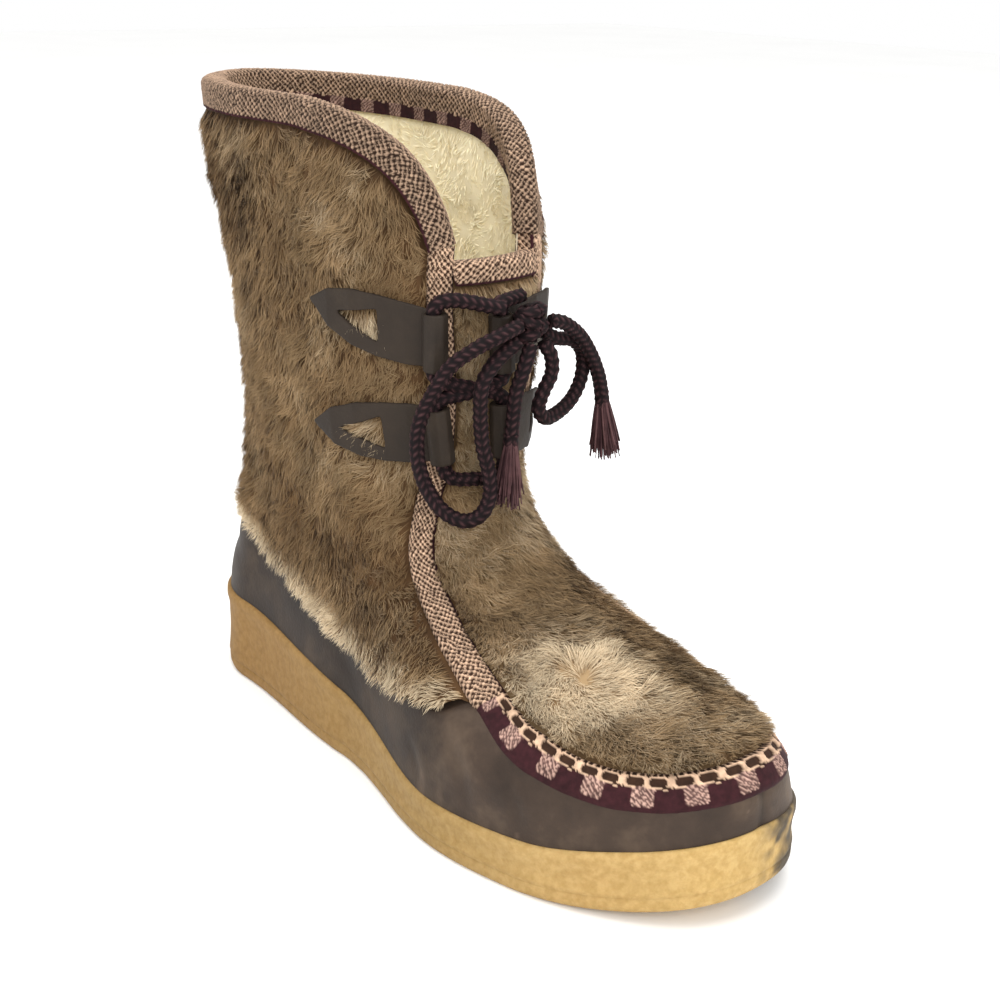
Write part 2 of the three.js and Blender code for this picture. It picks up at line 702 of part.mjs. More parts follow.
// A point beside the collar's edge, in the grid's own faces: away is how far above the edge it
// lies, square to the edge, so it counts for more along a column where the edge is steep
function collarPoint(around, away, depth) {
  const edge = gridPoint(around, UPPER_ROWS - 1, depth);
  const below = gridPoint(around, UPPER_ROWS - 2, depth);
  const [before, after] = [-0.012, 0.012].map((step) => face(around + step, edgeLevel(around + step)));
  const rise = after.z - before.z;
  const run = Math.hypot(after.x - before.x, after.y - before.y);
  const steepness = Math.min(Math.hypot(rise, run) / run, STEEPEST);
  return edge.addScaledVector(edge.clone().sub(below).normalize(), away * steepness);
}

// A band round the collar, from the notch's outer corner to its inner one
function collarBand(section, ends) {
  const columns = gridColumns().slice(CORNER_COLUMN, 1 - CORNER_COLUMN)
    .map((around, i, all) => around - (i === 0 ? ends : 0) + (i === all.length - 1 ? ends : 0));
  return shell(columns.length, section.length, (i, j, inner) => {
    const { away, depth } = section[j][inner];
    return collarPoint(columns[i], away, depth);
  });
}

const seamHalf = TRIM_WIDTH / 2;
const seamChannel = ribbonBar(ribbonRun, SEAM_ROWS,
  [-seamHalf - SIDE_GAP, 0, seamHalf + SIDE_GAP], GAP, REACH_OUT, SIDE_GAP);
const collarChannel = toSolid(collarBand([
  [{ away: -COLLAR_TRIM_OUT - SIDE_GAP, depth: REACH_OUT }, { away: -COLLAR_TRIM_OUT - SIDE_GAP, depth: FLANGE }],
  [{ away: EDGE_GAP + TRIM + 1, depth: REACH_OUT }, { away: EDGE_GAP + TRIM + 1, depth: FLANGE }],
], CHANNEL_ENDS));
const seamClear = ribbonBar(ribbonRun, SEAM_ROWS,
  [-seamHalf - GAP, 0, seamHalf + GAP], GAP, RIBBON_TOP * 2, GAP);
const pastEdge = toSolid(collarBand([
  [{ away: -EDGE_GAP, depth: REACH_OUT }, { away: -EDGE_GAP, depth: GAP }],
  [{ away: COLLAR_TRIM_OUT, depth: REACH_OUT }, { away: COLLAR_TRIM_OUT, depth: GAP }],
], CHANNEL_ENDS));
const notchChannel = ribbonBar(notchEdge, NOTCH_ROWS,
  [-NOTCH_REACH - SIDE_GAP, 2 * NOTCH_REACH], GAP, REACH_OUT, SIDE_GAP);
const leatherLayer = toSolid(ringShell(GAP, FLANGE));
const flatCore = toSolid(ringShell(-WALL * 2, FLANGE));
const bed = toSolid(ringShell(-WALL - GAP, TRIM_BASE, EDGE_GAP));
const coreUnderRibbon = toSolid(ringShell(-WALL * 2, TRIM_BASE));
const coreUnderTabs = toSolid(ringShell(-WALL * 2, TAB_BASE));
const pressed = seamChannel.add(notchChannel).subtract(flatCore).add(collarChannel);
const furLayer = toSolid(ringShell(GAP, PILE));
const slab = centreSlab();

function makeBand(side) {
  return fromSolid(leatherLayer.intersect(bandBlock(side)).subtract(slab));
}

// Where the tufts stand: shares up and round each side, and along and across the front panel
const SIDE_TUFTS = { rows: 6, columns: 4, low: 0.06, rise: 0.8, front: 0.2, width: 0.7, lean: 0.35 };
const PANEL_TUFTS = { rows: 7, across: [-0.6, -0.2, 0.2, 0.6], start: 0.42, run: 0.44, fan: 2 };

function makeSide(side) {
  const { rows, columns, low, rise, front, width, lean } = SIDE_TUFTS;
  const places = [];
  for (let i = 0; i < rows; i += 1) {
    for (let j = 0; j < columns; j += 1) {
      const up = low + rise * i / rows;
      const round = front + width * (j + (i % 2) / 2) / columns;
      places.push(sidePlace(side, round, up));
    }
  }
  const patch = furLayer.intersect(sideBlock(side)).subtract(slab);
  return fromSolid(addLocks(patch, places, () => side * lean, side > 0 ? 11 : 23).subtract(pressed));
}

function makePanel() {
  const { rows, across, start, run, fan } = PANEL_TUFTS;
  const places = [];
  for (let i = 0; i < rows; i += 1) {
    for (const aside of across) {
      const t = start + run * (i + (aside > 0 ? 0.5 : 0)) / rows;
      places.push(panelPlace(t, aside > 0 ? 1 : -1, 1 - Math.abs(aside)));
    }
  }
  const patch = furLayer.intersect(panelBlock());
  return fromSolid(addLocks(patch, places, (spot) => spot.around * fan, 37).subtract(pressed));
}

// Woven ribbon: flat along the seam, folded over the collar and over the top of the front panel
function makeSeamRibbon() {
  const bar = ribbonBar(ribbonRun, SEAM_ROWS, [-seamHalf, 0, seamHalf], GAP + 0.1, RIBBON_TOP);
  return fromSolid(bar.subtract(coreUnderRibbon).subtract(pastEdge).subtract(notchChannel));
}

function makeNotchRibbon() {
  const bar = ribbonBar(notchEdge, NOTCH_ROWS, edgeOffsets(NOTCH_REACH), RIBBON_INSIDE, RIBBON_TOP);
  return fromSolid(bar.subtract(bed));
}

function makeCollarRibbon() {
  const rim = EDGE_GAP + TRIM;
  const lined = -WALL - INNER_GAP;
  const fold = collarBand([
    [{ away: -COLLAR_TRIM_OUT, depth: RIBBON_TOP }, { away: -COLLAR_TRIM_OUT, depth: TRIM_BASE }],
    [{ away: rim, depth: RIBBON_TOP }, { away: EDGE_GAP, depth: TRIM_BASE }],
    [{ away: rim, depth: lined - TRIM }, { away: EDGE_GAP, depth: lined }],
    [{ away: -COLLAR_TRIM_IN, depth: lined - TRIM }, { away: -COLLAR_TRIM_IN, depth: lined }],
  ], 0);
  return fromSolid(toSolid(fold).subtract(seamClear));
}

// Leather tabs, with a three-sided hole and a tunnel for the cord at the lacing edge
const TUNNEL_RADIUS = CORD / 2 + GAP + 0.3 + TUNNEL_WALL;
const TUNNEL_DEPTH = TAB_BASE + TUNNEL_RADIUS;

function tabPoint(tab, back, up, depth) {
  const cos = Math.cos(tab.tilt);
  const sin = Math.sin(tab.tilt);
  const place = walk(tab, tab.side, back * cos - up * sin * 0.2, back * sin + up * cos);
  return skin(place.around, place.level, depth);
}

function tunnelEnds(tab, extra) {
  const half = TAB_WIDTH / 2 * tabHalf(0).half + extra;
  return [-half, half].map((up) => tabPoint(tab, TUNNEL_RADIUS, up, TUNNEL_DEPTH));
}

function rod(from, to, radius, sides) {
  const axis = new THREE.Vector3().subVectors(to, from);
  const geometry = new THREE.CylinderGeometry(radius, radius, axis.length(), sides);
  const turn = new THREE.Quaternion()
    .setFromUnitVectors(new THREE.Vector3(0, 1, 0), axis.clone().normalize());
  geometry.applyQuaternion(turn);
  geometry.translate(...new THREE.Vector3().addVectors(from, to).multiplyScalar(0.5).toArray());
  return geometry;
}

function makeTab(tab) {
  const rows = 6;
  const plate = toSolid(shell(rows, 3, (i, j, under) => {
    const share = i / (rows - 1);
    const back = TUNNEL_RADIUS + share * (TAB_LENGTH - TUNNEL_RADIUS);
    const half = TAB_WIDTH / 2 * tabHalf(share).half;
    return tabPoint(tab, back, (j - 1) * half, under ? TAB_BASE - 2 : TAB_BASE + LEATHER);
  })).subtract(coreUnderTabs);
  const corners = [
    { along: TAB_HOLE.apex, up: 0 },
    { along: TAB_HOLE.base, up: TAB_HOLE.half },
    { along: TAB_HOLE.base, up: -TAB_HOLE.half },
  ];
  const cutter = [];
  for (const depth of [TAB_BASE - 4, TAB_BASE + LEATHER + 4]) {
    for (const { along, up } of corners) {
      cutter.push(tabPoint(tab, along * TAB_LENGTH, up * TAB_WIDTH, depth));
    }
  }
  const hole = weld(cutter,
    [[0, 2, 1], [3, 4, 5], ...quad(0, 1, 4, 3), ...quad(1, 2, 5, 4), ...quad(2, 0, 3, 5)]);
  const [low, high] = tunnelEnds(tab, 0);
  const sleeve = toSolid(rod(low, high, TUNNEL_RADIUS, 8)).subtract(coreUnderTabs);
  const bores = lacePaths().map((path) => toSolid(tube(path, STRAND_STEPS, CORD / 2 + GAP)));
  return fromSolid(plate.subtract(toSolid(hole)).add(sleeve).subtract(bores[0]).subtract(bores[1]));
}

// Cord
function tube(points, steps, radius = CORD / 2, sides = 8) {
  const section = new THREE.Shape();
  for (let i = 0; i < sides; i += 1) {
    const angle = 2 * Math.PI * i / sides;
    const x = radius * Math.cos(angle);
    const y = radius * Math.sin(angle);
    if (i === 0) section.moveTo(x, y);
    else section.lineTo(x, y);
  }
  section.closePath();
  const path = new THREE.CatmullRomCurve3(points, false, 'centripetal');
  return new THREE.ExtrudeGeometry(section, { steps, extrudePath: path, bevelEnabled: false });
}

const vectors = (rows) => rows.map((row) => new THREE.Vector3(...row));

// The knot and what hangs from it, as points along each stretch
const KNOT = { x: 155, y: 3, z: 161, wide: 4.6, deep: 4.4, tall: 6.4 };
const LOOP_OUTER = [
  [156.2, -3.2, 160.8], [156.8, -10.6, 159.0], [155.0, -19.0, 155.8], [150.8, -27.0, 149.6],
  [146.6, -31.0, 140.1], [143.8, -33.6, 131.2], [142.8, -34.0, 122.8], [143.2, -33.0, 114.5],
  [145.2, -30.2, 105.9], [149.0, -26.6, 99.8], [153.8, -22.4, 97.6], [156.2, -17.8, 99.4],
  [156.4, -14.2, 105.6], [155.6, -14.4, 113.8], [154.6, -16.2, 122.0], [154.2, -17.2, 133.2],
  [154.6, -16.8, 143.2], [155.4, -12.4, 149.8], [156.0, -3.6, 155.6],
];
const LOOP_INNER = [
  [157.2, 6.6, 154.2], [158.2, 9.2, 149.6], [158.4, 9.6, 143.6], [157.8, 6.8, 137.6],
  [156.8, 5.8, 132.0], [155.8, 9.4, 127.6], [154.2, 17.4, 128.0], [152.4, 25.6, 131.8],
  [150.6, 31.0, 138.4], [150.4, 30.8, 146.0], [152.2, 24.6, 151.4], [153.4, 15.6, 153.6],
  [153.6, 9.8, 156.6],
];
const END_DOWN = [
  [157.2, 1.4, 154.3], [157.4, -1.8, 146.4], [156.6, -4.2, 138.4], [156.2, -4.8, 130.4],
  [156.0, -5.2, 124.4],
];
const END_OVER = [
  [158.8, 8.6, 161.4], [158.6, 14.0, 160.0], [157.6, 22.4, 154.6], [156.2, 29.6, 146.4],
  [154.6, 35.2, 137.6], [153.8, 37.6, 131.4],
];
const OUTER_START = [153.6, -7.0, 166.4];
const INNER_START = [149.4, 3.6, 168.8];
const TASSEL_LENGTH = 24;
const TASSEL_RADIUS = 5.2;
const TASSEL_STRIPS = 6;
const TASSEL_DROOP = 0.8;

const STRAND_STEPS = 21;
const TURN_IN = 3.2;
const TURN_OUT = 1.6;
const TURN_UP = 2.2;
const TURN_DOWN = 3.4;

// Both halves of the lace, each from beside the knot through an upper and a lower tunnel
function lacePaths() {
  const [outerUp, outerLow, innerUp, innerLow] = TABS.map((tab) => tunnelEnds(tab, 2));
  const [bottom, top] = [0, 1];
  const near = (point, x, y, z) => point.clone().add(new THREE.Vector3(x, y, z));
  const strand = (start, upper, lower, across) => [
    start,
    near(upper[top], TURN_IN * 0.8, across * TURN_IN, TURN_UP),
    upper[top],
    upper[top].clone().lerp(upper[bottom], 0.5),
    upper[bottom],
    near(upper[bottom].clone().lerp(lower[top], 0.5), TURN_OUT, 0, 0),
    lower[top],
    lower[top].clone().lerp(lower[bottom], 0.5),
    lower[bottom],
    near(lower[bottom], TURN_OUT, -across * TURN_IN * 0.7, -TURN_DOWN),
  ];
  const outer = strand(new THREE.Vector3(...OUTER_START), outerUp, innerLow, 1);
  const inner = strand(new THREE.Vector3(...INNER_START), innerUp, outerLow, -1);
  const bar = outer[9].clone().lerp(inner[9], 0.5).add(new THREE.Vector3(1.0, 0, -0.8));
  return [[...outer, bar], [...inner, bar]];
}

function makeCrossing() {
  const [outer, inner] = lacePaths().map((path) => toSolid(tube(path, STRAND_STEPS)));
  return fromSolid(outer.add(inner));
}

function makeKnot() {
  const ball = new THREE.SphereGeometry(1, 10, 7);
  ball.scale(KNOT.wide, KNOT.deep, KNOT.tall);
  const wrap = new THREE.TorusGeometry(KNOT.deep - 0.6, CORD / 2 - 0.5, 6, 12);
  wrap.rotateX(0.35);
  const solid = toSolid(ball).add(toSolid(wrap));
  const geometry = fromSolid(solid);
  geometry.translate(KNOT.x, KNOT.y, KNOT.z);
  return geometry;
}

function makeTassel(points) {
  const [before, end] = points.slice(-2);
  const way = end.clone().sub(before).normalize().add(new THREE.Vector3(0, 0, -TASSEL_DROOP)).normalize();
  const top = end.clone().addScaledVector(way, GAP + 0.35);
  const head = top.clone().addScaledVector(way, TASSEL_LENGTH * 0.45);
  const foot = top.clone().addScaledVector(way, TASSEL_LENGTH);
  const cone = new THREE.CylinderGeometry(CORD / 2 * 0.95, TASSEL_RADIUS * 0.72, TASSEL_LENGTH * 0.6, 8);
  const turn = new THREE.Quaternion().setFromUnitVectors(new THREE.Vector3(0, -1, 0), way);
  cone.applyQuaternion(turn);
  cone.translate(...top.clone().addScaledVector(way, TASSEL_LENGTH * 0.3).toArray());
  let solid = toSolid(cone);
  for (let i = 0; i < TASSEL_STRIPS; i += 1) {
    const angle = 2 * Math.PI * i / TASSEL_STRIPS;
    const spread = new THREE.Vector3(Math.cos(angle), 0, Math.sin(angle)).applyQuaternion(turn);
    const from = head.clone().addScaledVector(spread, TASSEL_RADIUS * 0.3);
    const to = foot.clone().addScaledVector(spread, TASSEL_RADIUS * 0.8)
      .addScaledVector(way, (i % 3) - 1.5);
    solid = solid.add(toSolid(rod(from, to, 0.9, 4)));
  }
  return fromSolid(solid);
}

// Assembly
const boot = new THREE.Group();

function place(name, geometry, material) {
  const mesh = new THREE.Mesh(geometry, material);
  mesh.name = name;
  boot.add(mesh);
  return mesh;
}

place('sole', makeSole(), crepe);
place('insole', makeInsole(), fleece);
place('upper', makeUpper(), lining);
place('leather_band_outer', makeBand(1), leather);
place('leather_band_inner', makeBand(-1), leather);
place('plush_side_outer', makeSide(1), plush);
place('plush_side_inner', makeSide(-1), plush);
place('plush_front_panel', makePanel(), plush);
place('ribbon_seam', makeSeamRibbon(), ribbon);
place('ribbon_collar', makeCollarRibbon(), ribbon);
place('ribbon_notch', makeNotchRibbon(), ribbon);
for (const tab of TABS) place(tab.name, makeTab(tab), tabLeather);
place('lace_crossing', makeCrossing(), cordFinish);

// The boot without the free cord stands with the middle of its box over the origin
const box = new THREE.Box3().setFromObject(boot);
boot.position.set(-(box.min.x + box.max.x) / 2, -(box.min.y + box.max.y) / 2, 0);

place('lace_knot', makeKnot(), cordFinish);
place('lace_loop_outer', tube(vectors(LOOP_OUTER), 20), cordFinish);
place('lace_loop_inner', tube(vectors(LOOP_INNER), 14), cordFinish);
place('lace_end_down', tube(vectors(END_DOWN), 4), cordFinish);
place('lace_end_over', tube(vectors(END_OVER), 6), cordFinish);
place('tassel_down', makeTassel(vectors(END_DOWN)), cordFinish);
place('tassel_over', makeTassel(vectors(END_OVER)), cordFinish);

export default boot;
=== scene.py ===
"""Looks of a plush winter boot for the right foot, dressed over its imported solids.

Lengths are in millimetres in the frame in which the boot was modelled, where the back of the sole
is at x = 0, and to_row turns them into metres in the row's frame.
"""

import math

import bpy
import numpy as np
from mathutils import Matrix, Vector, kdtree


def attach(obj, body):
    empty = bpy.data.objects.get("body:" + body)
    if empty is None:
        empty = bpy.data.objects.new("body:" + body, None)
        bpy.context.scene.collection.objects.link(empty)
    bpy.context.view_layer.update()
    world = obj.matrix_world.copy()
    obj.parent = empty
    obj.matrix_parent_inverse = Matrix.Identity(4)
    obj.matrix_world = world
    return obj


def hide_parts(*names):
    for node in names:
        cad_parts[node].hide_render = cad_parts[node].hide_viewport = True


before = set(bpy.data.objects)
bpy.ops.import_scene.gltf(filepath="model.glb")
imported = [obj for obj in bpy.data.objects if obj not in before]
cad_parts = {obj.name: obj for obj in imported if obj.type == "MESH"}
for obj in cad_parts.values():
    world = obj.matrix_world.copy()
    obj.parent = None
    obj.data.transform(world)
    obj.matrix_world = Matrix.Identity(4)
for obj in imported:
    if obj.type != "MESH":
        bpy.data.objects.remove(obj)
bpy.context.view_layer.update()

# Driving sizes, as in the part's source
SHIFT = np.array([-126.816, 4.512, 0.0])
SOLE_LENGTH = 268.0
BALL_WIDTH = 100.0
HEEL_STACK = 33.0
BALL_STACK = 17.0
TOE_TOP = 29.5
TOE_SPRING = 8.5
SPRING_FROM = 0.78
UPPER_RISE = 194.0
SOLE_RIM = 2.7
GROOVE_HEIGHT = 5.0
GAP = 0.3
WALL = 3.5
LEATHER_DEPTH = 1.7
RIBBON_WIDTH = 12.0
RIBBON_TOP = 3.2
TAB_BASE = 4.9
TAB_LENGTH = 47.0
TAB_WIDTH = 21.0
CORD = 4.6
TUNNEL_RADIUS = CORD / 2 + 0.6 + 1.4


# Tables
def table(names, rows):
    """Smooth columns over the first one; monotone between the rows."""
    keys = names.split()
    values = np.array(rows, float)
    at = values[:, 0]
    step = np.diff(values, axis=0) / np.diff(at)[:, None]
    before, after = step[:-1], step[1:]
    same = before * after > 0
    total = np.where(same, before + after, 1.0)
    inner = np.where(same, 2 * before * after / total, 0.0)
    slopes = np.vstack([step[:1], inner, step[-1:]])

    def read(t):
        t = np.clip(np.asarray(t, float), at[0], at[-1])
        i = np.clip(np.searchsorted(at, t, side="right") - 1, 0, len(at) - 2)
        h = at[i + 1] - at[i]
        q = (t - at[i]) / h
        p = 1 - q
        found = {}
        for k, key in enumerate(keys):
            found[key] = (values[i, k] * (1 + 2 * q) * p * p + slopes[i, k] * h * q * p * p
                          + values[i + 1, k] * q * q * (3 - 2 * q) - slopes[i + 1, k] * h * q * q * p)
        return found
    return read


wedge = table("at heel ball toe", [
    [0.00, 1.00, 0.00, 0.00], [0.12, 1.00, 0.00, 0.00], [0.30, 0.76, 0.24, 0.00],
    [0.50, 0.31, 0.69, 0.00], [0.65, 0.00, 1.00, 0.00], [0.80, 0.00, 0.92, 0.08],
    [0.92, 0.00, 0.45, 0.55], [1.00, 0.00, 0.00, 1.00]])

ring = table(
    "level back backUp front frontUp heel waistOut waistIn ballOut ballIn tipOut tipIn backRound"
    " frontRound blunt", [
        [0.00, 0.010, 0.000, 0.990, 0.000, 0.315, 0.385, 0.270, 0.520, 0.430, 0.38, 0.40, 0.125, 0.22, 2.3],
        [0.08, 0.015, 0.046, 0.989, 0.044, 0.310, 0.380, 0.280, 0.520, 0.435, 0.38, 0.38, 0.125, 0.24, 2.2],
        [0.16, 0.022, 0.093, 0.963, 0.101, 0.295, 0.365, 0.290, 0.495, 0.420, 0.35, 0.34, 0.13, 0.30, 2.1],
        [0.24, 0.030, 0.139, 0.892, 0.131, 0.280, 0.350, 0.300, 0.430, 0.380, 0.32, 0.30, 0.14, 0.38, 2.0],
        [0.32, 0.041, 0.191, 0.776, 0.162, 0.270, 0.340, 0.300, 0.370, 0.330, 0.28, 0.25, 0.15, 0.42, 2.0],
        [0.40, 0.056, 0.247, 0.660, 0.204, 0.270, 0.330, 0.300, 0.335, 0.305, 0.26, 0.23, 0.17, 0.42, 2.0],
        [0.48, 0.069, 0.320, 0.571, 0.281, 0.275, 0.335, 0.315, 0.330, 0.305, 0.26, 0.24, 0.20, 0.38, 2.0],
        [0.57, 0.075, 0.407, 0.522, 0.389, 0.290, 0.350, 0.330, 0.345, 0.320, 0.29, 0.27, 0.25, 0.34, 2.0],
        [0.66, 0.071, 0.510, 0.517, 0.518, 0.320, 0.370, 0.360, 0.360, 0.355, 0.31, 0.31, 0.32, 0.33, 2.2],
        [0.75, 0.056, 0.629, 0.519, 0.647, 0.350, 0.385, 0.380, 0.365, 0.370, 0.31, 0.33, 0.38, 0.30, 2.4],
        [0.84, 0.022, 0.758, 0.517, 0.776, 0.370, 0.390, 0.385, 0.365, 0.370, 0.31, 0.33, 0.42, 0.27, 2.5],
        [0.92, -0.015, 0.876, 0.507, 0.894, 0.380, 0.385, 0.380, 0.360, 0.360, 0.30, 0.32, 0.45, 0.27, 2.5],
        [1.00, -0.045, 1.021, 0.489, 1.034, 0.375, 0.375, 0.370, 0.350, 0.350, 0.29, 0.31, 0.48, 0.27, 2.5]])
HEEL_AT, WAIST_AT, BALL_AT, WEDGE_FADE = 0.12, 0.40, 0.67, 0.45

outer_edge = table("around level", [
    [0.000, 0.832], [0.083, 0.832], [0.095, 0.857], [0.117, 0.897], [0.150, 0.928], [0.194, 0.951],
    [0.242, 0.966], [0.297, 0.977], [0.350, 0.983], [0.430, 0.987], [1.000, 0.987]])
inner_edge = table("around level", [
    [0.000, 0.832], [0.110, 0.832], [0.122, 0.857], [0.144, 0.897], [0.177, 0.928], [0.220, 0.951],
    [0.265, 0.966], [0.315, 0.977], [0.362, 0.983], [0.430, 0.987], [1.000, 0.987]])
NOTCH_LEVEL, NOTCH_OUT, NOTCH_IN, NOTCH_CLEAR = 0.832, 0.095, 0.122, 0.019

seam_table = table("step out in level", [
    [0.00, 0.100, 0.127, 0.898], [0.04, 0.113, 0.139, 0.850], [0.10, 0.123, 0.149, 0.767],
    [0.18, 0.122, 0.145, 0.690], [0.28, 0.144, 0.158, 0.603], [0.33, 0.169, 0.177, 0.567],
    [0.42, 0.256, 0.254, 0.477], [0.49, 0.300, 0.296, 0.413], [0.55, 0.318, 0.314, 0.363],
    [0.61, 0.330, 0.326, 0.303], [0.66, 0.328, 0.324, 0.262], [0.71, 0.317, 0.313, 0.218],
    [0.76, 0.300, 0.297, 0.177], [0.80, 0.269, 0.267, 0.150], [0.84, 0.233, 0.232, 0.131],
    [0.88, 0.194, 0.194, 0.120], [0.92, 0.150, 0.150, 0.117], [0.96, 0.085, 0.085, 0.122],
    [1.00, 0.000, 0.000, 0.128]])
SEAM_LEAVES_LEATHER = 0.71
RIBBON_START = 0.017

band_top = table("around level", [
    [0.315, 0.218], [0.350, 0.213], [0.380, 0.190], [0.440, 0.163], [0.500, 0.133], [0.550, 0.136],
    [0.610, 0.160], [0.700, 0.212], [0.770, 0.262], [0.880, 0.288], [1.000, 0.295]])

TAB_HOLE = {"apex": 0.76, "base": 0.45, "half": 0.27}
tab_half = table("along half", [
    [0.00, 0.92], [0.10, 1.00], [0.35, 1.00], [0.60, 0.90], [0.80, 0.62], [1.00, 0.03]])
TABS = [
    {"name": "tab_outer_upper", "side": 1, "around": 0.106, "level": 0.748, "tilt": 0.20},
    {"name": "tab_outer_lower", "side": 1, "around": 0.108, "level": 0.637, "tilt": -0.07},
    {"name": "tab_inner_upper", "side": -1, "around": 0.040, "level": 0.742, "tilt": 0.14},
    {"name": "tab_inner_lower", "side": -1, "around": 0.044, "level": 0.637, "tilt": -0.07}]


# Surface of the upper, for whole arrays of places
def ease(share):
    q = np.clip(share, 0, 1)
    return q * q * (3 - 2 * q)


def blend(a, b, share):
    return a + (b - a) * ease(share)


def end_round(s, row):
    back = np.clip(1 - s / row["backRound"], 0, 1)
    front = np.clip((s - 1 + row["frontRound"]) / row["frontRound"], 0, 1)
    return np.sqrt(1 - back * back) * np.power(np.maximum(1 - front ** row["blunt"], 0), 1 / row["blunt"])


def half_width(row, s, outer):
    waist = np.where(outer, row["waistOut"], row["waistIn"])
    ball = np.where(outer, row["ballOut"], row["ballIn"])
    tip = np.where(outer, row["tipOut"], row["tipIn"])
    half = blend(row["heel"], waist, (s - HEEL_AT) / (WAIST_AT - HEEL_AT))
    half = np.where(s > WAIST_AT, blend(waist, ball, (s - WAIST_AT) / (BALL_AT - WAIST_AT)), half)
    half = np.where(s > BALL_AT, blend(ball, tip, (s - BALL_AT) / (1 - BALL_AT)), half)
    return half * BALL_WIDTH * end_round(s, row)


def sole_top(x):
    row = wedge(x / SOLE_LENGTH)
    return row["heel"] * HEEL_STACK + row["ball"] * BALL_STACK + row["toe"] * TOE_TOP


def sole_bottom(x):
    past = np.maximum(x / SOLE_LENGTH - SPRING_FROM, 0) / (1 - SPRING_FROM)
    return TOE_SPRING * past * past


def face(around, level):
    """A point of the upper's outside: around from 0 in front to 1 at the heel, level from sole to collar."""
    around, level = np.broadcast_arrays(np.asarray(around, float), np.asarray(level, float))
    turn = np.where(around > 1, around - 2, np.where(around < -1, around + 2, around))
    row = ring(level)
    s = (1 + np.cos(np.pi * turn)) / 2
    x = (row["back"] + (row["front"] - row["back"]) * s) * SOLE_LENGTH
    y = half_width(row, s, turn >= 0) * np.where(turn >= 0, -1, 1)
    chord = HEEL_STACK + (TOE_TOP - HEEL_STACK) * s
    sag = (sole_top(x) - chord) * np.maximum(1 - level / WEDGE_FADE, 0) ** 1.5
    z = chord + GAP + (row["backUp"] + (row["frontUp"] - row["backUp"]) * s) * UPPER_RISE + sag
    return np.stack([x, y, z], axis=-1)


def unit(v):
    return v / np.maximum(np.linalg.norm(v, axis=-1, keepdims=True), 1e-9)


def frame_at(around, level):
    """How the surface runs round and up at a place, and its outward normal."""
    e = 0.002
    low = np.clip(np.asarray(level, float) - e, 0, 1 - 2 * e)
    along = (face(around + e, level) - face(around - e, level)) / (2 * e)
    upward = (face(around, low + 2 * e) - face(around, low)) / (2 * e)
    return along, upward, unit(np.cross(upward, along))


def skin(around, level, depth):
    """A point that far out from the upper's outside."""
    around, level = np.asarray(around, float), np.asarray(level, float)
    normal = frame_at(around, level)[2]
    return face(around, level) + normal * np.asarray(depth, float)[..., None]


def slide(around, level, move):
    """The place that is reached by a short move in millimetres."""
    along, upward, _ = frame_at(around, level)
    aa = (along * along).sum(-1)
    bb = (upward * upward).sum(-1)
    ab = (along * upward).sum(-1)
    am = (along * move).sum(-1)
    bm = (upward * move).sum(-1)
    det = aa * bb - ab * ab
    return around + (am * bb - bm * ab) / det, level + (bm * aa - am * ab) / det


def walk(around, level, side, back, up):
    """Walks over the surface, back round the leg and up it, in millimetres."""
    steps = 10
    for _ in range(steps):
        along, upward, _ = frame_at(around, level)
        move = (unit(along) * (np.asarray(side * back / steps, float)[..., None])
                + unit(upward) * (np.asarray(up / steps, float)[..., None]))
        around, level = slide(around, level, move)
    return around, level


def beside(path, t, aside):
    """The place that lies aside of a path over the surface, in millimetres to its left."""
    e = 0.004
    before = path(np.maximum(t - e, 0))
    after = path(np.minimum(t + e, 1))
    here = path(t)
    along = unit(face(*after) - face(*before))
    normal = frame_at(*here)[2]
    left = np.cross(normal, along)
    return slide(here[0], here[1], left * np.asarray(aside, float)[..., None])


def seam(side):
    def path(t):
        row = seam_table(t)
        return side * (row["out"] if side > 0 else row["in"]), row["level"]
    return path


def whole_seam(t):
    outer, inner = seam(1)(t * 2), seam(-1)(2 - t * 2)
    first = t < 0.5
    return np.where(first, outer[0], inner[0]), np.where(first, outer[1], inner[1])


def ribbon_run(t):
    return whole_seam(RIBBON_START + (1 - 2 * RIBBON_START) * t)


def edge_level(around):
    turn = np.where(around > 1, around - 2, around)
    return np.where(turn >= 0, outer_edge(np.abs(turn))["level"], inner_edge(np.abs(turn))["level"])


def collar_edge(t):
    around = NOTCH_OUT + (1 - t) * (2 - NOTCH_OUT - NOTCH_IN)
    return around, edge_level(around)


def notch_edge(t):
    around = NOTCH_OUT - NOTCH_CLEAR - (NOTCH_OUT + NOTCH_IN - 2 * NOTCH_CLEAR) * t
    return around, NOTCH_LEVEL + 0 * t


def band_around(side, share):
    edge = seam_table(SEAM_LEAVES_LEATHER)["out" if side > 0 else "in"]
    return edge + (1 - edge) * share


def side_place(side, c, a):
    """A place on one side: c from the front seam back to the heel, a from the leather to the collar."""
    start = float(seam_table(0.0)["out" if side > 0 else "in"])

    def bottom(q):
        around = band_around(side, q)
        return np.stack([around, band_top(around)["level"] + 0.002], -1)

    def top(q):
        around = start + (1 - start) * q
        return np.stack([around, np.minimum(edge_level(side * around), 1)], -1)

    def front(q):
        around, level = seam(side)(SEAM_LEAVES_LEATHER * (1 - q))
        return np.stack([side * around, level], -1)

    def back(q):
        low, high = bottom(np.ones_like(q)), top(np.ones_like(q))
        return low + (high - low) * q[..., None]

    c, a = np.broadcast_arrays(np.asarray(c, float), np.asarray(a, float))
    one, nil = np.ones_like(c), np.zeros_like(c)
    cc, aa = c[..., None], a[..., None]
    mix = (bottom(c) * (1 - aa) + top(c) * aa + front(a) * (1 - cc) + back(a) * cc
           - front(nil) * (1 - cc) * (1 - aa) - bottom(one) * cc * (1 - aa)
           - front(one) * (1 - cc) * aa - top(one) * cc * aa)
    return side * mix[..., 0], mix[..., 1]


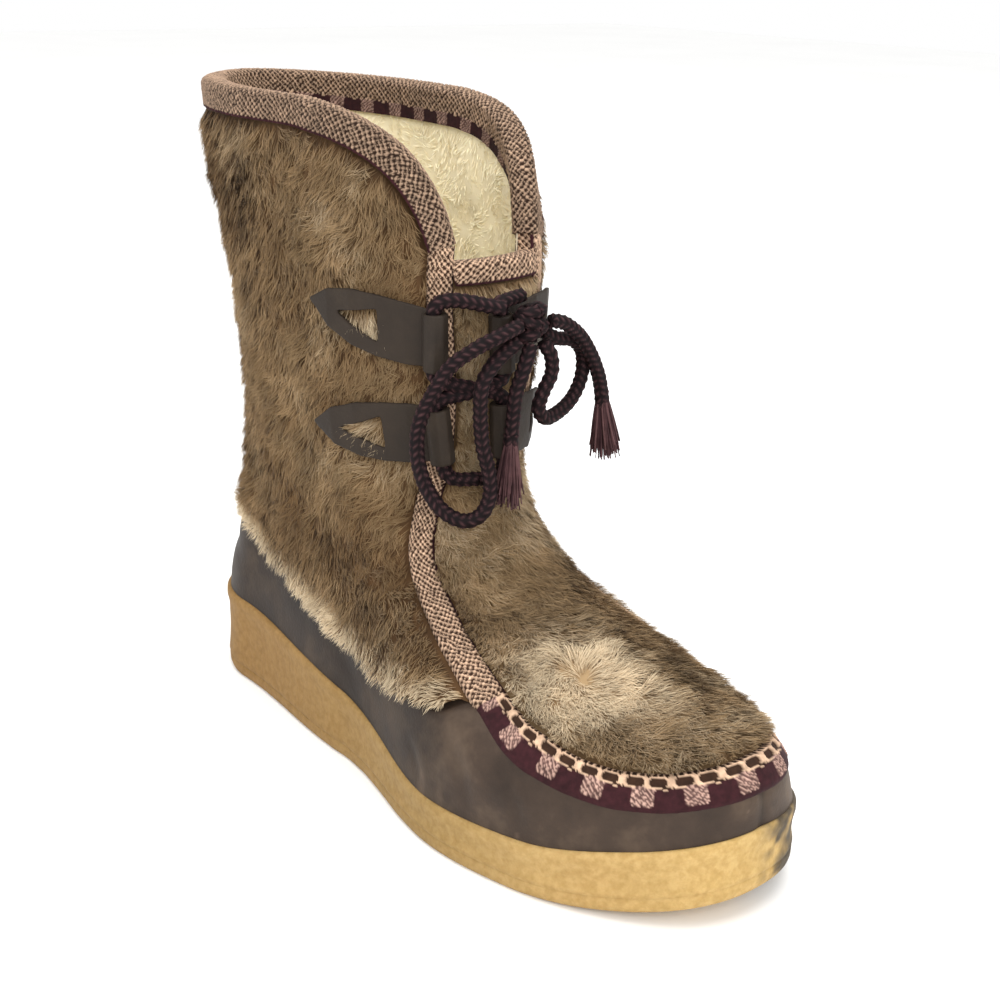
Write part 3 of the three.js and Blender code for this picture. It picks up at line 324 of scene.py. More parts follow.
SPINE_END = 0.20
SPINE_REACH = 0.94
SPINE_SWAY = 0.35


def panel_place(across, t):
    """A place on the front panel: across from -1 at the inner seam to 1 at the outer one."""
    across, t = np.broadcast_arrays(np.asarray(across, float), np.asarray(t, float))
    row = seam_table(t)
    edge = np.where(across > 0, row["out"], row["in"])
    start = float(seam_table(0.0)["level"])
    down = t / SPINE_REACH
    spine = start + (SPINE_END - start) * (ease(down) * SPINE_SWAY + np.minimum(down, 1) * (1 - SPINE_SWAY))
    share = np.abs(across)
    around = edge * across
    return around, np.minimum(row["level"] * share + spine * (1 - share), edge_level(around))


def to_row(points):
    return (np.asarray(points, float) + SHIFT) / 1000.0


# Noise that repeats from run to run
HASH_X, HASH_Y, HASH_Z, HASH_MIX = 73856093, 19349663, 83492791, 1274126177


def value_noise(points, size, seed=0):
    """Smooth noise from -1 to 1 over points, with cells of that size."""
    p = np.asarray(points, float) / size + 17.3 * (seed + 1)
    base = np.floor(p).astype(np.int64)
    f = p - base
    f = f * f * (3 - 2 * f)
    total = np.zeros(p.shape[:-1])
    for dx, dy, dz in np.ndindex(2, 2, 2):
        k = (base[..., 0] + dx) * HASH_X ^ (base[..., 1] + dy) * HASH_Y ^ (base[..., 2] + dz) * HASH_Z
        k = (k ^ (k >> 13)) * HASH_MIX & 0x7fffffff
        corner = (k % 10007) / 5003.0 - 1
        weight = np.abs(1 - dx - f[..., 0]) * np.abs(1 - dy - f[..., 1]) * np.abs(1 - dz - f[..., 2])
        total += corner * weight
    return total


# Meshes
def tint_points(mesh, colours):
    layer = mesh.color_attributes.new("tint", "FLOAT_COLOR", "POINT")
    layer.data.foreach_set("color", np.c_[colours, np.ones(len(colours))].astype(np.float32).ravel())


def mesh_of(name, points, faces, colours):
    """A piece from points in millimetres and faces given as arrays of quads or triangles."""
    mesh = bpy.data.meshes.new(name)
    faces = [np.asarray(f, np.int32) for f in faces if len(f)]
    loops = np.concatenate([f.ravel() for f in faces])
    sizes = np.concatenate([np.full(len(f), f.shape[1], np.int32) for f in faces])
    starts = np.concatenate([[0], np.cumsum(sizes)[:-1]]).astype(np.int32)
    mesh.vertices.add(len(points))
    mesh.vertices.foreach_set("co", to_row(points).astype(np.float32).ravel())
    mesh.loops.add(len(loops))
    mesh.loops.foreach_set("vertex_index", loops)
    mesh.polygons.add(len(sizes))
    mesh.polygons.foreach_set("loop_start", starts)
    mesh.polygons.foreach_set("use_smooth", np.ones(len(sizes), bool))
    mesh.update(calc_edges=True)
    tint_points(mesh, colours)
    obj = bpy.data.objects.new(name, mesh)
    bpy.context.scene.collection.objects.link(obj)
    return obj


def grid_faces(rows, columns, wrap=False):
    """Quads of a grid of points, joined round from the last column to the first if wrapped."""
    i, j = np.meshgrid(np.arange(rows - 1), np.arange(columns if wrap else columns - 1), indexing="ij")
    k = (j + 1) % columns
    quads = np.stack([i * columns + j, i * columns + k, (i + 1) * columns + k, (i + 1) * columns + j], -1)
    return quads.reshape(-1, 4)


def dress(obj, material, slot, *nodes):
    obj.data.materials.append(material)
    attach(obj, "root")
    if nodes:
        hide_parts(*nodes)
    return obj


def linear(colour):
    c = np.asarray(colour, float) / 255.0
    return np.where(c <= 0.04045, c / 12.92, ((c + 0.055) / 1.055) ** 2.4)


# Materials
WHITE = (255, 255, 255)
CREPE_COLOUR = (212, 176, 116)


def material(name, base, roughness):
    made = bpy.data.materials.new(name)
    made.use_nodes = True
    shader = made.node_tree.nodes["Principled BSDF"]
    shader.inputs["Base Color"].default_value = (*linear(base), 1)
    shader.inputs["Roughness"].default_value = roughness
    shader.inputs["Specular IOR Level"].default_value = 0.3
    return made, made.node_tree, shader


def noise_node(tree, scale, detail=3.0, roughness=0.6, stretch=(1, 1, 1)):
    place = tree.nodes.new("ShaderNodeTexCoord")
    turn = tree.nodes.new("ShaderNodeMapping")
    turn.inputs["Scale"].default_value = stretch
    node = tree.nodes.new("ShaderNodeTexNoise")
    for socket, value in (("Scale", scale), ("Detail", detail), ("Roughness", roughness)):
        node.inputs[socket].default_value = value
    tree.links.new(place.outputs["Object"], turn.inputs["Vector"])
    tree.links.new(turn.outputs["Vector"], node.inputs["Vector"])
    return node.outputs["Fac"]


def mottle(tree, stops, *noise):
    """A noise, and the colours that it runs through at its stops."""
    source = noise_node(tree, *noise)
    node = tree.nodes.new("ShaderNodeValToRGB")
    ramp = node.color_ramp
    while len(ramp.elements) < len(stops):
        ramp.elements.new(0.5)
    for element, (at, colour) in zip(ramp.elements, stops):
        element.position = at
        element.color = (*linear(colour), 1)
    tree.links.new(source, node.inputs["Fac"])
    return source, node.outputs["Color"]


def mix_node(tree, kind, share, first, second):
    node = tree.nodes.new("ShaderNodeMix")
    node.data_type = "RGBA"
    node.blend_type = kind
    if isinstance(share, (int, float)):
        node.inputs["Factor"].default_value = share
    else:
        tree.links.new(share, node.inputs["Factor"])
    for socket, value in ((node.inputs[6], first), (node.inputs[7], second)):
        if isinstance(value, (tuple, list, np.ndarray)):
            socket.default_value = (*value, 1)
        else:
            tree.links.new(value, socket)
    return node.outputs[2]


def multiply(tree, first, second, share=1.0):
    return mix_node(tree, "MULTIPLY", share, first, second)


def bump_from(tree, shader, height, strength, distance):
    node = tree.nodes.new("ShaderNodeBump")
    node.inputs["Strength"].default_value = strength
    node.inputs["Distance"].default_value = distance
    tree.links.new(height, node.inputs["Height"])
    tree.links.new(node.outputs["Normal"], shader.inputs["Normal"])


def tint_node(tree):
    node = tree.nodes.new("ShaderNodeVertexColor")
    node.layer_name = "tint"
    return node.outputs["Color"]


def fibre_material(name, base, roughness, sheen, grain, dark=205):
    """Pile and thread: the colour is on the points, with a fine uneven dye."""
    made, tree, shader = material(name, base, roughness)
    _, dye = mottle(tree, [(0.3, (dark, dark, dark)), (0.7, WHITE)], grain, 2.0)
    tree.links.new(multiply(tree, tint_node(tree), dye), shader.inputs["Base Color"])
    shader.inputs["Sheen Weight"].default_value = sheen
    shader.inputs["Sheen Roughness"].default_value = 0.5
    shader.inputs["Specular IOR Level"].default_value = 0.15
    return made


def leather_material(name, dark, mid, light, roughness):
    """Leather in three browns, with pale scuffs, a fine grain and an uneven gloss."""
    made, tree, shader = material(name, mid, roughness)
    shader.inputs["Specular IOR Level"].default_value = 0.22
    broad, tone = mottle(tree, [(0.34, dark), (0.52, mid), (0.72, light)], 26.0, 5.0, 0.62)
    _, scuffs = mottle(tree, [(0.60, (0, 0, 0)), (0.74, (150, 150, 150))], 70.0, 5.0, 0.7, (1.0, 1.0, 0.45))
    colour = mix_node(tree, "MIX", scuffs, tone, tuple(linear(light)))
    tree.links.new(multiply(tree, colour, tint_node(tree)), shader.inputs["Base Color"])
    rough = tree.nodes.new("ShaderNodeMapRange")
    rough.inputs["To Min"].default_value = roughness - 0.12
    rough.inputs["To Max"].default_value = roughness + 0.15
    tree.links.new(broad, rough.inputs["Value"])
    tree.links.new(rough.outputs["Result"], shader.inputs["Roughness"])
    bump_from(tree, shader, noise_node(tree, 900.0, 3.0, 0.55), 0.35, 0.0004)
    return made


def crepe_material():
    """Pebbled crepe rubber, specked and a little translucent."""
    made, tree, shader = material("crepe", (200, 160, 95), 0.72)
    stops = [(0.3, (207, 170, 110)), (0.55, CREPE_COLOUR), (0.8, (218, 183, 124))]
    _, tone = mottle(tree, stops, 16.0, 3.0, 0.5)
    _, speck = mottle(tree, [(0.35, (240, 236, 228)), (0.6, WHITE)], 650.0, 4.0, 0.65)
    pebble, dapple = mottle(tree, [(0.38, (240, 237, 227)), (0.60, WHITE)], 340.0, 2.0, 0.5)
    colour = multiply(tree, tone, speck, 0.9)
    colour = multiply(tree, colour, dapple)
    colour = multiply(tree, colour, tint_node(tree))
    tree.links.new(colour, shader.inputs["Base Color"])
    bump_from(tree, shader, pebble, 0.5, 0.0006)
    shader.inputs["Subsurface Weight"].default_value = 0.08
    shader.inputs["Subsurface Radius"].default_value = (0.004, 0.002, 0.001)
    return made


def floor_material():
    made, tree, shader = material("floor", (250, 250, 249), 0.8)
    _, tone = mottle(tree, [(0.3, (250, 250, 249)), (0.7, (253, 253, 252))], 3.0, 2.0)
    tree.links.new(tone, shader.inputs["Base Color"])
    return made


CREPE = crepe_material()
LEATHER_SKIN = leather_material("leather", (35, 26, 20), (50, 39, 31), (80, 66, 53), 0.56)
TAB_SKIN = leather_material("tab_leather", (36, 28, 22), (46, 37, 29), (64, 53, 42), 0.62)
FUR = fibre_material("plush_pile", (125, 105, 80), 0.8, 0.05, 60.0)
FLEECE = fibre_material("fleece_pile", (235, 225, 180), 0.85, 0.45, 80.0, 248)
THREAD = fibre_material("woven_ribbon", (99, 52, 58), 0.85, 0.02, 400.0)
BRAID = fibre_material("braided_cord", (50, 28, 34), 0.75, 0.0, 300.0)


# Camera
CAMERA_AT = (533.5, -339.5, 279.2)
CAMERA_AZIMUTH, CAMERA_ELEVATION, CAMERA_ROLL = 47.6, 16.1, 1.71
CAMERA_LENS = 58.0
CAMERA_SHIFT = (-0.0357, -0.0917)


def make_camera():
    data = bpy.data.cameras.new("camera")
    data.sensor_width = 36.0
    data.sensor_fit = "HORIZONTAL"
    data.lens = CAMERA_LENS
    data.shift_x, data.shift_y = CAMERA_SHIFT
    data.clip_start = 0.01
    camera = bpy.data.objects.new("camera", data)
    bpy.context.scene.collection.objects.link(camera)
    a, e, r = (math.radians(v) for v in (CAMERA_AZIMUTH, CAMERA_ELEVATION, CAMERA_ROLL))
    back = Vector((math.sin(a) * math.cos(e), -math.cos(a) * math.cos(e), math.sin(e)))
    right = Vector((math.cos(a), math.sin(a), 0))
    up = back.cross(right)
    turned = right * math.cos(r) + up * math.sin(r)
    upright = up * math.cos(r) - right * math.sin(r)
    pose = Matrix((turned, upright, back)).transposed().to_4x4()
    pose.translation = Vector(to_row(CAMERA_AT))
    camera.matrix_world = pose
    bpy.context.scene.camera = camera


make_camera()
bpy.context.scene.view_settings.view_transform = "Standard"


# Cords
KNOT = (155.0, 3.0, 161.0)
LOOP_OUTER = [
    [156.2, -3.2, 160.8], [156.8, -10.6, 159.0], [155.0, -19.0, 155.8], [150.8, -27.0, 149.6],
    [146.6, -31.0, 140.1], [143.8, -33.6, 131.2], [142.8, -34.0, 122.8], [143.2, -33.0, 114.5],
    [145.2, -30.2, 105.9], [149.0, -26.6, 99.8], [153.8, -22.4, 97.6], [156.2, -17.8, 99.4],
    [156.4, -14.2, 105.6], [155.6, -14.4, 113.8], [154.6, -16.2, 122.0], [154.2, -17.2, 133.2],
    [154.6, -16.8, 143.2], [155.4, -12.4, 149.8], [156.0, -3.6, 155.6]]
LOOP_INNER = [
    [157.2, 6.6, 154.2], [158.2, 9.2, 149.6], [158.4, 9.6, 143.6], [157.8, 6.8, 137.6],
    [156.8, 5.8, 132.0], [155.8, 9.4, 127.6], [154.2, 17.4, 128.0], [152.4, 25.6, 131.8],
    [150.6, 31.0, 138.4], [150.4, 30.8, 146.0], [152.2, 24.6, 151.4], [153.4, 15.6, 153.6],
    [153.6, 9.8, 156.6]]
END_DOWN = [
    [157.2, 1.4, 154.3], [157.4, -1.8, 146.4], [156.6, -4.2, 138.4], [156.2, -4.8, 130.4],
    [156.0, -5.2, 124.4]]
END_OVER = [
    [158.8, 8.6, 161.4], [158.6, 14.0, 160.0], [157.6, 22.4, 154.6], [156.2, 29.6, 146.4],
    [154.6, 35.2, 137.6], [153.8, 37.6, 131.4]]


def between(t, knots, i, j, first, last):
    """Places at t on the way from first, at knot i, to last, at knot j."""
    reach = knots[j] - knots[i]
    return (knots[j] - t) / reach * first + (t - knots[i]) / reach * last


def catmull(points, count):
    """Evenly spaced points on a centripetal Catmull-Rom curve through the given ones, and its length."""
    p = np.asarray(points, float)
    p = np.vstack([2 * p[0] - p[1], p, 2 * p[-1] - p[-2]])
    fine = []
    for i in range(1, len(p) - 2):
        chords = [np.linalg.norm(p[i + k] - p[i + k - 1]) for k in range(3)]
        knots = np.cumsum([0] + [max(chord, 1e-6) ** 0.5 for chord in chords])
        t = np.linspace(knots[1], knots[2], 40, endpoint=i == len(p) - 3)[:, None]
        a = [between(t, knots, k, k + 1, p[i - 1 + k], p[i + k]) for k in range(3)]
        b = [between(t, knots, k, k + 2, a[k], a[k + 1]) for k in range(2)]
        fine.append(between(t, knots, 1, 2, b[0], b[1]))
    fine = np.vstack(fine)
    run = np.concatenate([[0], np.cumsum(np.linalg.norm(np.diff(fine, axis=0), axis=1))])
    at = np.linspace(0, run[-1], count)
    return np.stack([np.interp(at, run, fine[:, k]) for k in range(3)], -1), run[-1]


def moving_frame(path):
    """Two directions square to the path at each of its points, carried along without twist."""
    tangent = unit(np.gradient(path, axis=0))
    side = np.zeros_like(path)
    start = np.cross(tangent[0], [0.0, 0.0, 1.0])
    if np.linalg.norm(start) < 0.1:
        start = np.cross(tangent[0], [1.0, 0.0, 0.0])
    side[0] = start / np.linalg.norm(start)
    for i in range(1, len(path)):
        v = side[i - 1] - tangent[i] * side[i - 1].dot(tangent[i])
        side[i] = v / np.linalg.norm(v)
    return side, np.cross(tangent, side)


# Colours of the cord: BRAID_DARK is painted shade between the plaits and the colour of its end caps,
# BRAID_MID the cord's own colour, BRAID_LIGHT a painted highlight on the plaits' crests and the paler
# threads of the tassels
BRAID_DARK = (16, 7, 9)
BRAID_MID = (46, 24, 28)
BRAID_LIGHT = (104, 74, 74)
PLAITS = 6
PLAIT_PITCH = 2.7
PLAIT_LEAN = 0.8
BRAID_ROUND = 24
BRAID_STEP = 0.5
BRAID_LOW, BRAID_RISE = 0.95, 0.19


def braid(points, radius=CORD / 2):
    """A braided cord round a path: points, quads, end triangles, colours, path and length."""
    length = catmull(points, 10)[1]
    rows = max(int(length / BRAID_STEP), 12)
    path, length = catmull(points, rows)
    side, other = moving_frame(path)
    turn = np.arange(BRAID_ROUND) * 2 * np.pi / BRAID_ROUND
    run = np.linspace(0, length, rows)[:, None]
    plait = (turn * PLAITS / (2 * np.pi))[None, :]
    local = plait - np.floor(plait) - 0.5
    lean = np.where(np.floor(plait) % 2 == 0, 1.0, -1.0)
    relief = 0.5 + 0.5 * np.cos(2 * np.pi * (run / PLAIT_PITCH + lean * local * PLAIT_LEAN))
    relief = relief * np.cos(np.pi * local) ** 0.4
    r = radius * (BRAID_LOW + BRAID_RISE * relief)
    points = (path[:, None, :] + side[:, None, :] * (np.cos(turn)[None, :] * r)[..., None]
              + other[:, None, :] * (np.sin(turn)[None, :] * r)[..., None])
    # Painted shade darkens the cord down between the plaits, and a painted highlight, flecked with noise,
    # lightens their crests
    share = np.clip(relief, 0, 1)[..., None] ** 1.3
    crest_highlight = np.clip(relief - 0.6, 0, 0.4)[..., None] * (1.1 + 0.6 * value_noise(points, 1.6, 3))[..., None]
    colours = linear(BRAID_DARK) * (1 - share) + linear(BRAID_MID) * share
    colours = colours * (1 - crest_highlight * share) + linear(BRAID_LIGHT) * crest_highlight * share
    ends = np.concatenate([path[:1], path[-1:]])
    flat = np.vstack([points.reshape(-1, 3), ends])
    count = rows * BRAID_ROUND
    here = np.arange(BRAID_ROUND)
    after = np.roll(here, -1)
    last = count - BRAID_ROUND
    caps = [np.stack([after, here, np.full(BRAID_ROUND, count)], -1),
            np.stack([here + last, after + last, np.full(BRAID_ROUND, count + 1)], -1)]
    tint = np.vstack([colours.reshape(-1, 3), linear(BRAID_DARK)[None, :].repeat(2, 0)])
    return flat, grid_faces(rows, BRAID_ROUND, wrap=True), np.vstack(caps), tint, path, length


def joined(parts):
    """Points, quads, triangles and colours of several parts as one."""
    points, quads, tris, tints = [], [], [], []
    start = 0
    for p, q, t, c in parts:
        points.append(p)
        quads.append(np.asarray(q).reshape(-1, 4) + start)
        tris.append(np.asarray(t).reshape(-1, 3) + start)
        tints.append(c)
        start += len(p)
    return np.vstack(points), np.vstack(quads), np.vstack(tris), np.vstack(tints)


TASSEL_THREADS = 190
TASSEL_LENGTH = 21.0
TASSEL_SPREAD = 3.6
TASSEL_THREAD = 0.5
TASSEL_STEPS = 6
WHIPPING = 5.5


def strands(root, way, seed):
    """A brush of fine threads that fans out from root along way."""
    rng = np.random.default_rng(seed)
    count = TASSEL_THREADS
    one = unit(np.cross(way, [0.3, 0.9, 0.1]))
    two = np.cross(way, one)
    angle = rng.random(count) * 2 * np.pi
    reach = np.sqrt(rng.random(count))
    out = one * np.cos(angle)[:, None] + two * np.sin(angle)[:, None]
    start = root + out * (reach * CORD * 0.42)[:, None]
    long = TASSEL_LENGTH * (0.75 + 0.3 * rng.random(count))[:, None]
    end = start + way * long + out * (reach * TASSEL_SPREAD)[:, None]
    end[:, 2] -= rng.random(count) * 1.5
    bend = (rng.random((count, 3)) - 0.5) * 3.0
    steps = np.linspace(0, 1, TASSEL_STEPS)[:, None, None]
    middle = start + (end - start) * steps + bend * (steps * (1 - steps))
    wide = unit(np.cross(np.broadcast_to(way, out.shape), out)) * TASSEL_THREAD
    deep = out * TASSEL_THREAD * 0.8
    thin = np.linspace(1, 0.55, TASSEL_STEPS)[:, None, None]
    around = [wide, deep, -wide, -deep]
    points = np.stack([middle + offset * thin for offset in around], axis=2).transpose(1, 0, 2, 3)
    one_thread = TASSEL_STEPS * len(around)
    quads = grid_faces(TASSEL_STEPS, len(around), wrap=True)
    faces = np.concatenate([quads + k * one_thread for k in range(count)])
    shade = rng.random(count)[:, None]
    tone = linear(BRAID_MID) * (1 - shade) + linear(BRAID_LIGHT) * shade
    return points.reshape(-1, 3), faces, np.zeros((0, 3), int), np.repeat(tone, one_thread, axis=0)


def free_cord(name, node, points):
    flat, quads, caps, tint, path, length = braid(points)
    obj = mesh_of(name, flat, [quads, caps], tint)
    dress(obj, BRAID, "cord", node)
    return obj


def make_tassel(name, node, points, seed):
    """The whipped end of a cord and the threads that fan out of it, a little more to the floor."""
    before, end = np.asarray(points[-2], float), np.asarray(points[-1], float)
    way = unit(unit(end - before) + [0, 0, -0.8])
    top = end - way * 0.3
    whipping = braid([top, top + way * 3.0, top + way * WHIPPING], radius=CORD / 2 * 1.02)[:4]
    points, quads, tris, tint = joined([whipping, strands(top + way * 2.5, way, seed)])
    obj = mesh_of(name, points, [quads, tris], tint)
    return dress(obj, BRAID, "cord", node)


# The knot's three wraps: how high over its middle, how far they tip and how wide they reach
KNOT_WRAPS = [(-3.4, 0.5, 3.2), (0.4, -0.35, 3.8), (3.6, 0.25, 3.0)]
KNOT_CORE = [(0.0, -0.5, -6.0), (0.6, 0.0, -2.0), (0.2, 0.4, 2.5), (-0.6, 0.0, 6.0)]


def make_bow():
    down = make_tassel("tassel_down_threads", "tassel_down", END_DOWN, 5)
    over = make_tassel("tassel_over_threads", "tassel_over", END_OVER, 9)
    free_cord("cord_loop_outer", "lace_loop_outer", LOOP_OUTER)
    free_cord("cord_loop_inner", "lace_loop_inner", LOOP_INNER)
    free_cord("cord_end_down", "lace_end_down", END_DOWN)
    free_cord("cord_end_over", "lace_end_over", END_OVER)
    x, y, z = KNOT
    wraps = []
    for lift, tilt, reach in KNOT_WRAPS:
        loop = [[x + reach * 0.9 * math.cos(a), y + reach * 1.1 * math.sin(a),
                 z + lift + tilt * reach * math.sin(a + 0.6)] for a in np.linspace(0, 2 * np.pi, 15)]
        wraps.append(braid(loop, radius=CORD / 2 * 0.9)[:4])
    core = braid(np.array(KNOT) + KNOT_CORE)[:4]
    points, quads, tris, tint = joined([*wraps, core])
    dress(mesh_of("cord_knot", points, [quads, tris], tint), BRAID, "cord", "lace_knot")


def tab_point(tab, back, up, depth):
    """A point of a tab: how far back from its tunnel, up across it, and out from the upper."""
    cos, sin = math.cos(tab["tilt"]), math.sin(tab["tilt"])
    back, up = np.broadcast_arrays(np.asarray(back, float), np.asarray(up, float))
    around, level = np.full(back.shape, tab["around"]), np.full(back.shape, tab["level"])
    place = walk(around, level, tab["side"], back * cos - up * sin * 0.2, back * sin + up * cos)
    return skin(*place, depth)


def tunnel_ends(tab, extra):
    half = TAB_WIDTH / 2 * float(tab_half(0.0)["half"]) + extra
    return [tab_point(tab, TUNNEL_RADIUS, up, TAB_BASE + TUNNEL_RADIUS) for up in (-half, half)]


LACE_START_OUTER = (153.6, -7.0, 166.4)
LACE_START_INNER = (149.4, 3.6, 168.8)
LACE_TURN = 3.2


def lace_paths():
    """Both halves of the lace: through an upper tunnel, across, through a lower one and to the bar below."""
    outer_up, outer_low, inner_up, inner_low = [tunnel_ends(tab, 2) for tab in TABS]

    def strand(start, upper, lower, across):
        return [np.array(start), upper[1] + [LACE_TURN * 0.8, across * LACE_TURN, 2.2], upper[1],
                (upper[0] + upper[1]) / 2, upper[0], (upper[0] + lower[1]) / 2 + [1.6, 0, 0], lower[1],
                (lower[0] + lower[1]) / 2, lower[0], lower[0] + [1.6, -across * LACE_TURN * 0.7, -3.4]]

    outer = strand(LACE_START_OUTER, outer_up, inner_low, 1)
    inner = strand(LACE_START_INNER, inner_up, outer_low, -1)
    bar = (outer[9] + inner[9]) / 2 + [1.0, 0, -0.8]
    return [[*outer, bar], [*inner, bar]]


def make_lacing():
    parts = [braid(path)[:4] for path in lace_paths()]
    points, quads, tris, tint = joined(parts)
    dress(mesh_of("cord_lacing", points, [quads, tris], tint), BRAID, "cord", "lace_crossing")


# Sole and insole
def foot_outline(s, outer, inset, reach):
    row = {key: float(value) for key, value in ring(0.0).items()}
    grow = reach - inset
    start = row["back"] * SOLE_LENGTH - grow
    end = row["front"] * SOLE_LENGTH + grow
    x = start + (end - start) * s
    half = half_width(row, s, outer) + grow * end_round(s, row)
    return x, np.where(outer, -half, half)


def foot_loop(stations):
    """Shares along the foot and the side, once round: out along the outer side, back along the inner."""
    s = (1 - np.cos(np.pi * np.arange(stations + 1) / stations)) / 2
    shares = np.concatenate([s, s[::-1][1:-1]])
    outer = np.concatenate([np.ones(stations + 1, bool), np.zeros(stations - 1, bool)])
    return shares, outer


# The sole's section from the floor up: how far in from the rim, and how high over the underside
SOLE_LOW = [
    (2.6, 0.0), (2.2, 0.0), (1.5, 0.25), (0.9, 1.0), (0.6, 2.0), (0.5, 3.2), (0.45, 4.3), (0.6, 4.7),
    (0.8, 5.0), (0.65, 5.3), (0.4, 5.9), (0.3, 6.6)]
# Its section at the upper: how far in from the rim, and how far below the sole's top
SOLE_HIGH = [
    (0.6, 6.5), (0.35, 5.0), (0.0, 3.4), (0.0, 2.2), (0.05, 1.2), (0.25, 0.6), (0.8, 0.12), (1.6, 0.0)]
SOLE_STATIONS = 150
SOLE_STEPS = 14
SOLE_HOLLOW = 0.35
SOLE_CLOSE = 0.2

# Painted light along the sole, darker at the heel and lighter at the toe: the share of the crepe's colour,
# its red, green and blue
SOLE_LIGHT_AT = [0, 60, 180, 235, 268]
SOLE_LIGHT_SHARE = [[0.40, 0.43, 0.50, 0.70, 0.81], [0.34, 0.38, 0.49, 0.70, 0.83], [0.24, 0.31, 0.44, 0.67, 0.80]]

# The dark scuff on the inner side of the toe: where it starts, over how much it fades in, and its colour
SCUFF_X, SCUFF_X_FADE = 240, 16
SCUFF_Y, SCUFF_Y_FADE = -4, 12
SCUFF_COLOUR = (58, 53, 49)
SCUFF_COVER = 0.92


def sole_rows(shares, outer):
    """Rings from the middle of the underside, out and up the sole's side, to the middle of its top."""
    rows = []
    for inset, height in SOLE_LOW:
        x, y = foot_outline(shares, outer, inset, SOLE_RIM)
        rows.append(np.stack([x, y, sole_bottom(x) + height], -1))
    for k in range(1, SOLE_STEPS):
        share = k / SOLE_STEPS
        inset = 0.3 + 0.3 * share + SOLE_HOLLOW * math.sin(math.pi * share)
        x, y = foot_outline(shares, outer, inset, SOLE_RIM)
        bottom = sole_bottom(x) + SOLE_LOW[-1][1]
        rows.append(np.stack([x, y, bottom + (sole_top(x) - SOLE_HIGH[0][1] - bottom) * share], -1))
    for inset, down in SOLE_HIGH:
        x, y = foot_outline(shares, outer, inset, SOLE_RIM)
        rows.append(np.stack([x, y, sole_top(x) - down], -1))
    narrow = [1, SOLE_CLOSE, 1]
    return np.array([rows[0] * narrow, *rows, rows[-1] * narrow])


def sole_colours(points):
    """Share of the crepe's colour, with painted light that darkens to the heel, painted shade in the groove,
    blotches and the toe's scuff.
    """
    x, y, z = np.moveaxis(points, -1, 0)
    # Painted light: the crepe darker to the heel and lighter to the toe
    colours = np.stack([np.interp(x, SOLE_LIGHT_AT, lit_share) for lit_share in SOLE_LIGHT_SHARE], -1)
    # Painted shade along the groove
    groove_shade = 1 - 0.04 * np.exp(-(z - sole_bottom(x) - GROOVE_HEIGHT) ** 2 / 0.5)
    blotch = 1 + 0.04 * value_noise(points, 30.0, 5) + 0.035 * value_noise(points, 8.0, 6)
    colours = colours * (groove_shade * blotch)[..., None]
    toe = ease((x - SCUFF_X) / SCUFF_X_FADE) * ease((y - SCUFF_Y) / SCUFF_Y_FADE)
    worn = value_noise(points, 11.0, 7) * 1.1 + value_noise(points, 3.5, 8) * 0.9
    cover = (toe * np.clip(worn + 0.75, 0, 1))[..., None] * SCUFF_COVER
    return colours * (1 - cover) + linear(SCUFF_COLOUR) / linear(CREPE_COLOUR) * cover


def loop_caps(loop):
    """Faces that close a loop of points, whose second half comes back along the first."""
    count = len(loop)
    return [[loop[i], loop[-i % count], loop[(-i - 1) % count], loop[i + 1]] for i in range(count // 2 - 1)]


def make_sole():
    shares, outer = foot_loop(SOLE_STATIONS)
    points = sole_rows(shares, outer)
    rows, count = points.shape[:2]
    wave = value_noise(points, 24.0, 1) * 0.22 + value_noise(points, 7.0, 2) * 0.08
    wave[:3] = 0
    wave[-2:] = 0
    points = points + unit(points * [0, 1, 0] + [0, 1e-6, 0]) * wave[..., None]
    colours = sole_colours(points)
    bottom = np.arange(count)
    caps = loop_caps(bottom) + loop_caps(bottom + (rows - 1) * count)
    quads = np.array([c for c in caps if len(set(c)) == 4])
    tris = np.array([list(dict.fromkeys(c)) for c in caps if len(set(c)) == 3]).reshape(-1, 3)
    faces = [grid_faces(rows, count, wrap=True), quads, tris]
    obj = mesh_of("sole_crepe", points.reshape(-1, 3), faces, colours.reshape(-1, 3))
    dress(obj, CREPE, "crepe", "sole")


# The insole's rounded rim: how far in from its edge, and how high over the sole
INSOLE_RIM = [(0.0, 0.3), (0.0, 3.0), (0.8, 3.9), (2.0, 4.3)]
INSOLE_INSET = WALL + 1.2
INSOLE_COLOUR = (226, 216, 172)


def make_insole():
    shares, outer = foot_loop(60)
    rows = []
    for inset, up in INSOLE_RIM:
        x, y = foot_outline(shares, outer, INSOLE_INSET + inset, 0)
        rows.append(np.stack([x, y, sole_top(x) + up], -1))
    rows += [rows[-1] * [1, share, 1] for share in (0.75, 0.5, 0.25, 0.0)]
    points = np.array(rows)
    points[3:, :, 2] += value_noise(points[3:], 5.0, 3) * 0.5
    tint = np.ones((points.size // 3, 3)) * linear(INSOLE_COLOUR)
    quads = grid_faces(len(rows), len(shares), wrap=True)
    obj = mesh_of("insole_fleece", points.reshape(-1, 3), [quads], tint)
    dress(obj, FLEECE, "fleece", "insole")


# Leather band
def band_level(side, around):
    """Level of the leather band's upper edge at a place round the foot."""
    t = np.linspace(SEAM_LEAVES_LEATHER, 1, 200)
    along = seam_table(t)["out" if side > 0 else "in"]
    front = np.interp(around, along[::-1], seam_table(t)["level"][::-1])
    edge = float(seam_table(SEAM_LEAVES_LEATHER)["out" if side > 0 else "in"])
    return np.where(around < edge, front, band_top(around)["level"])


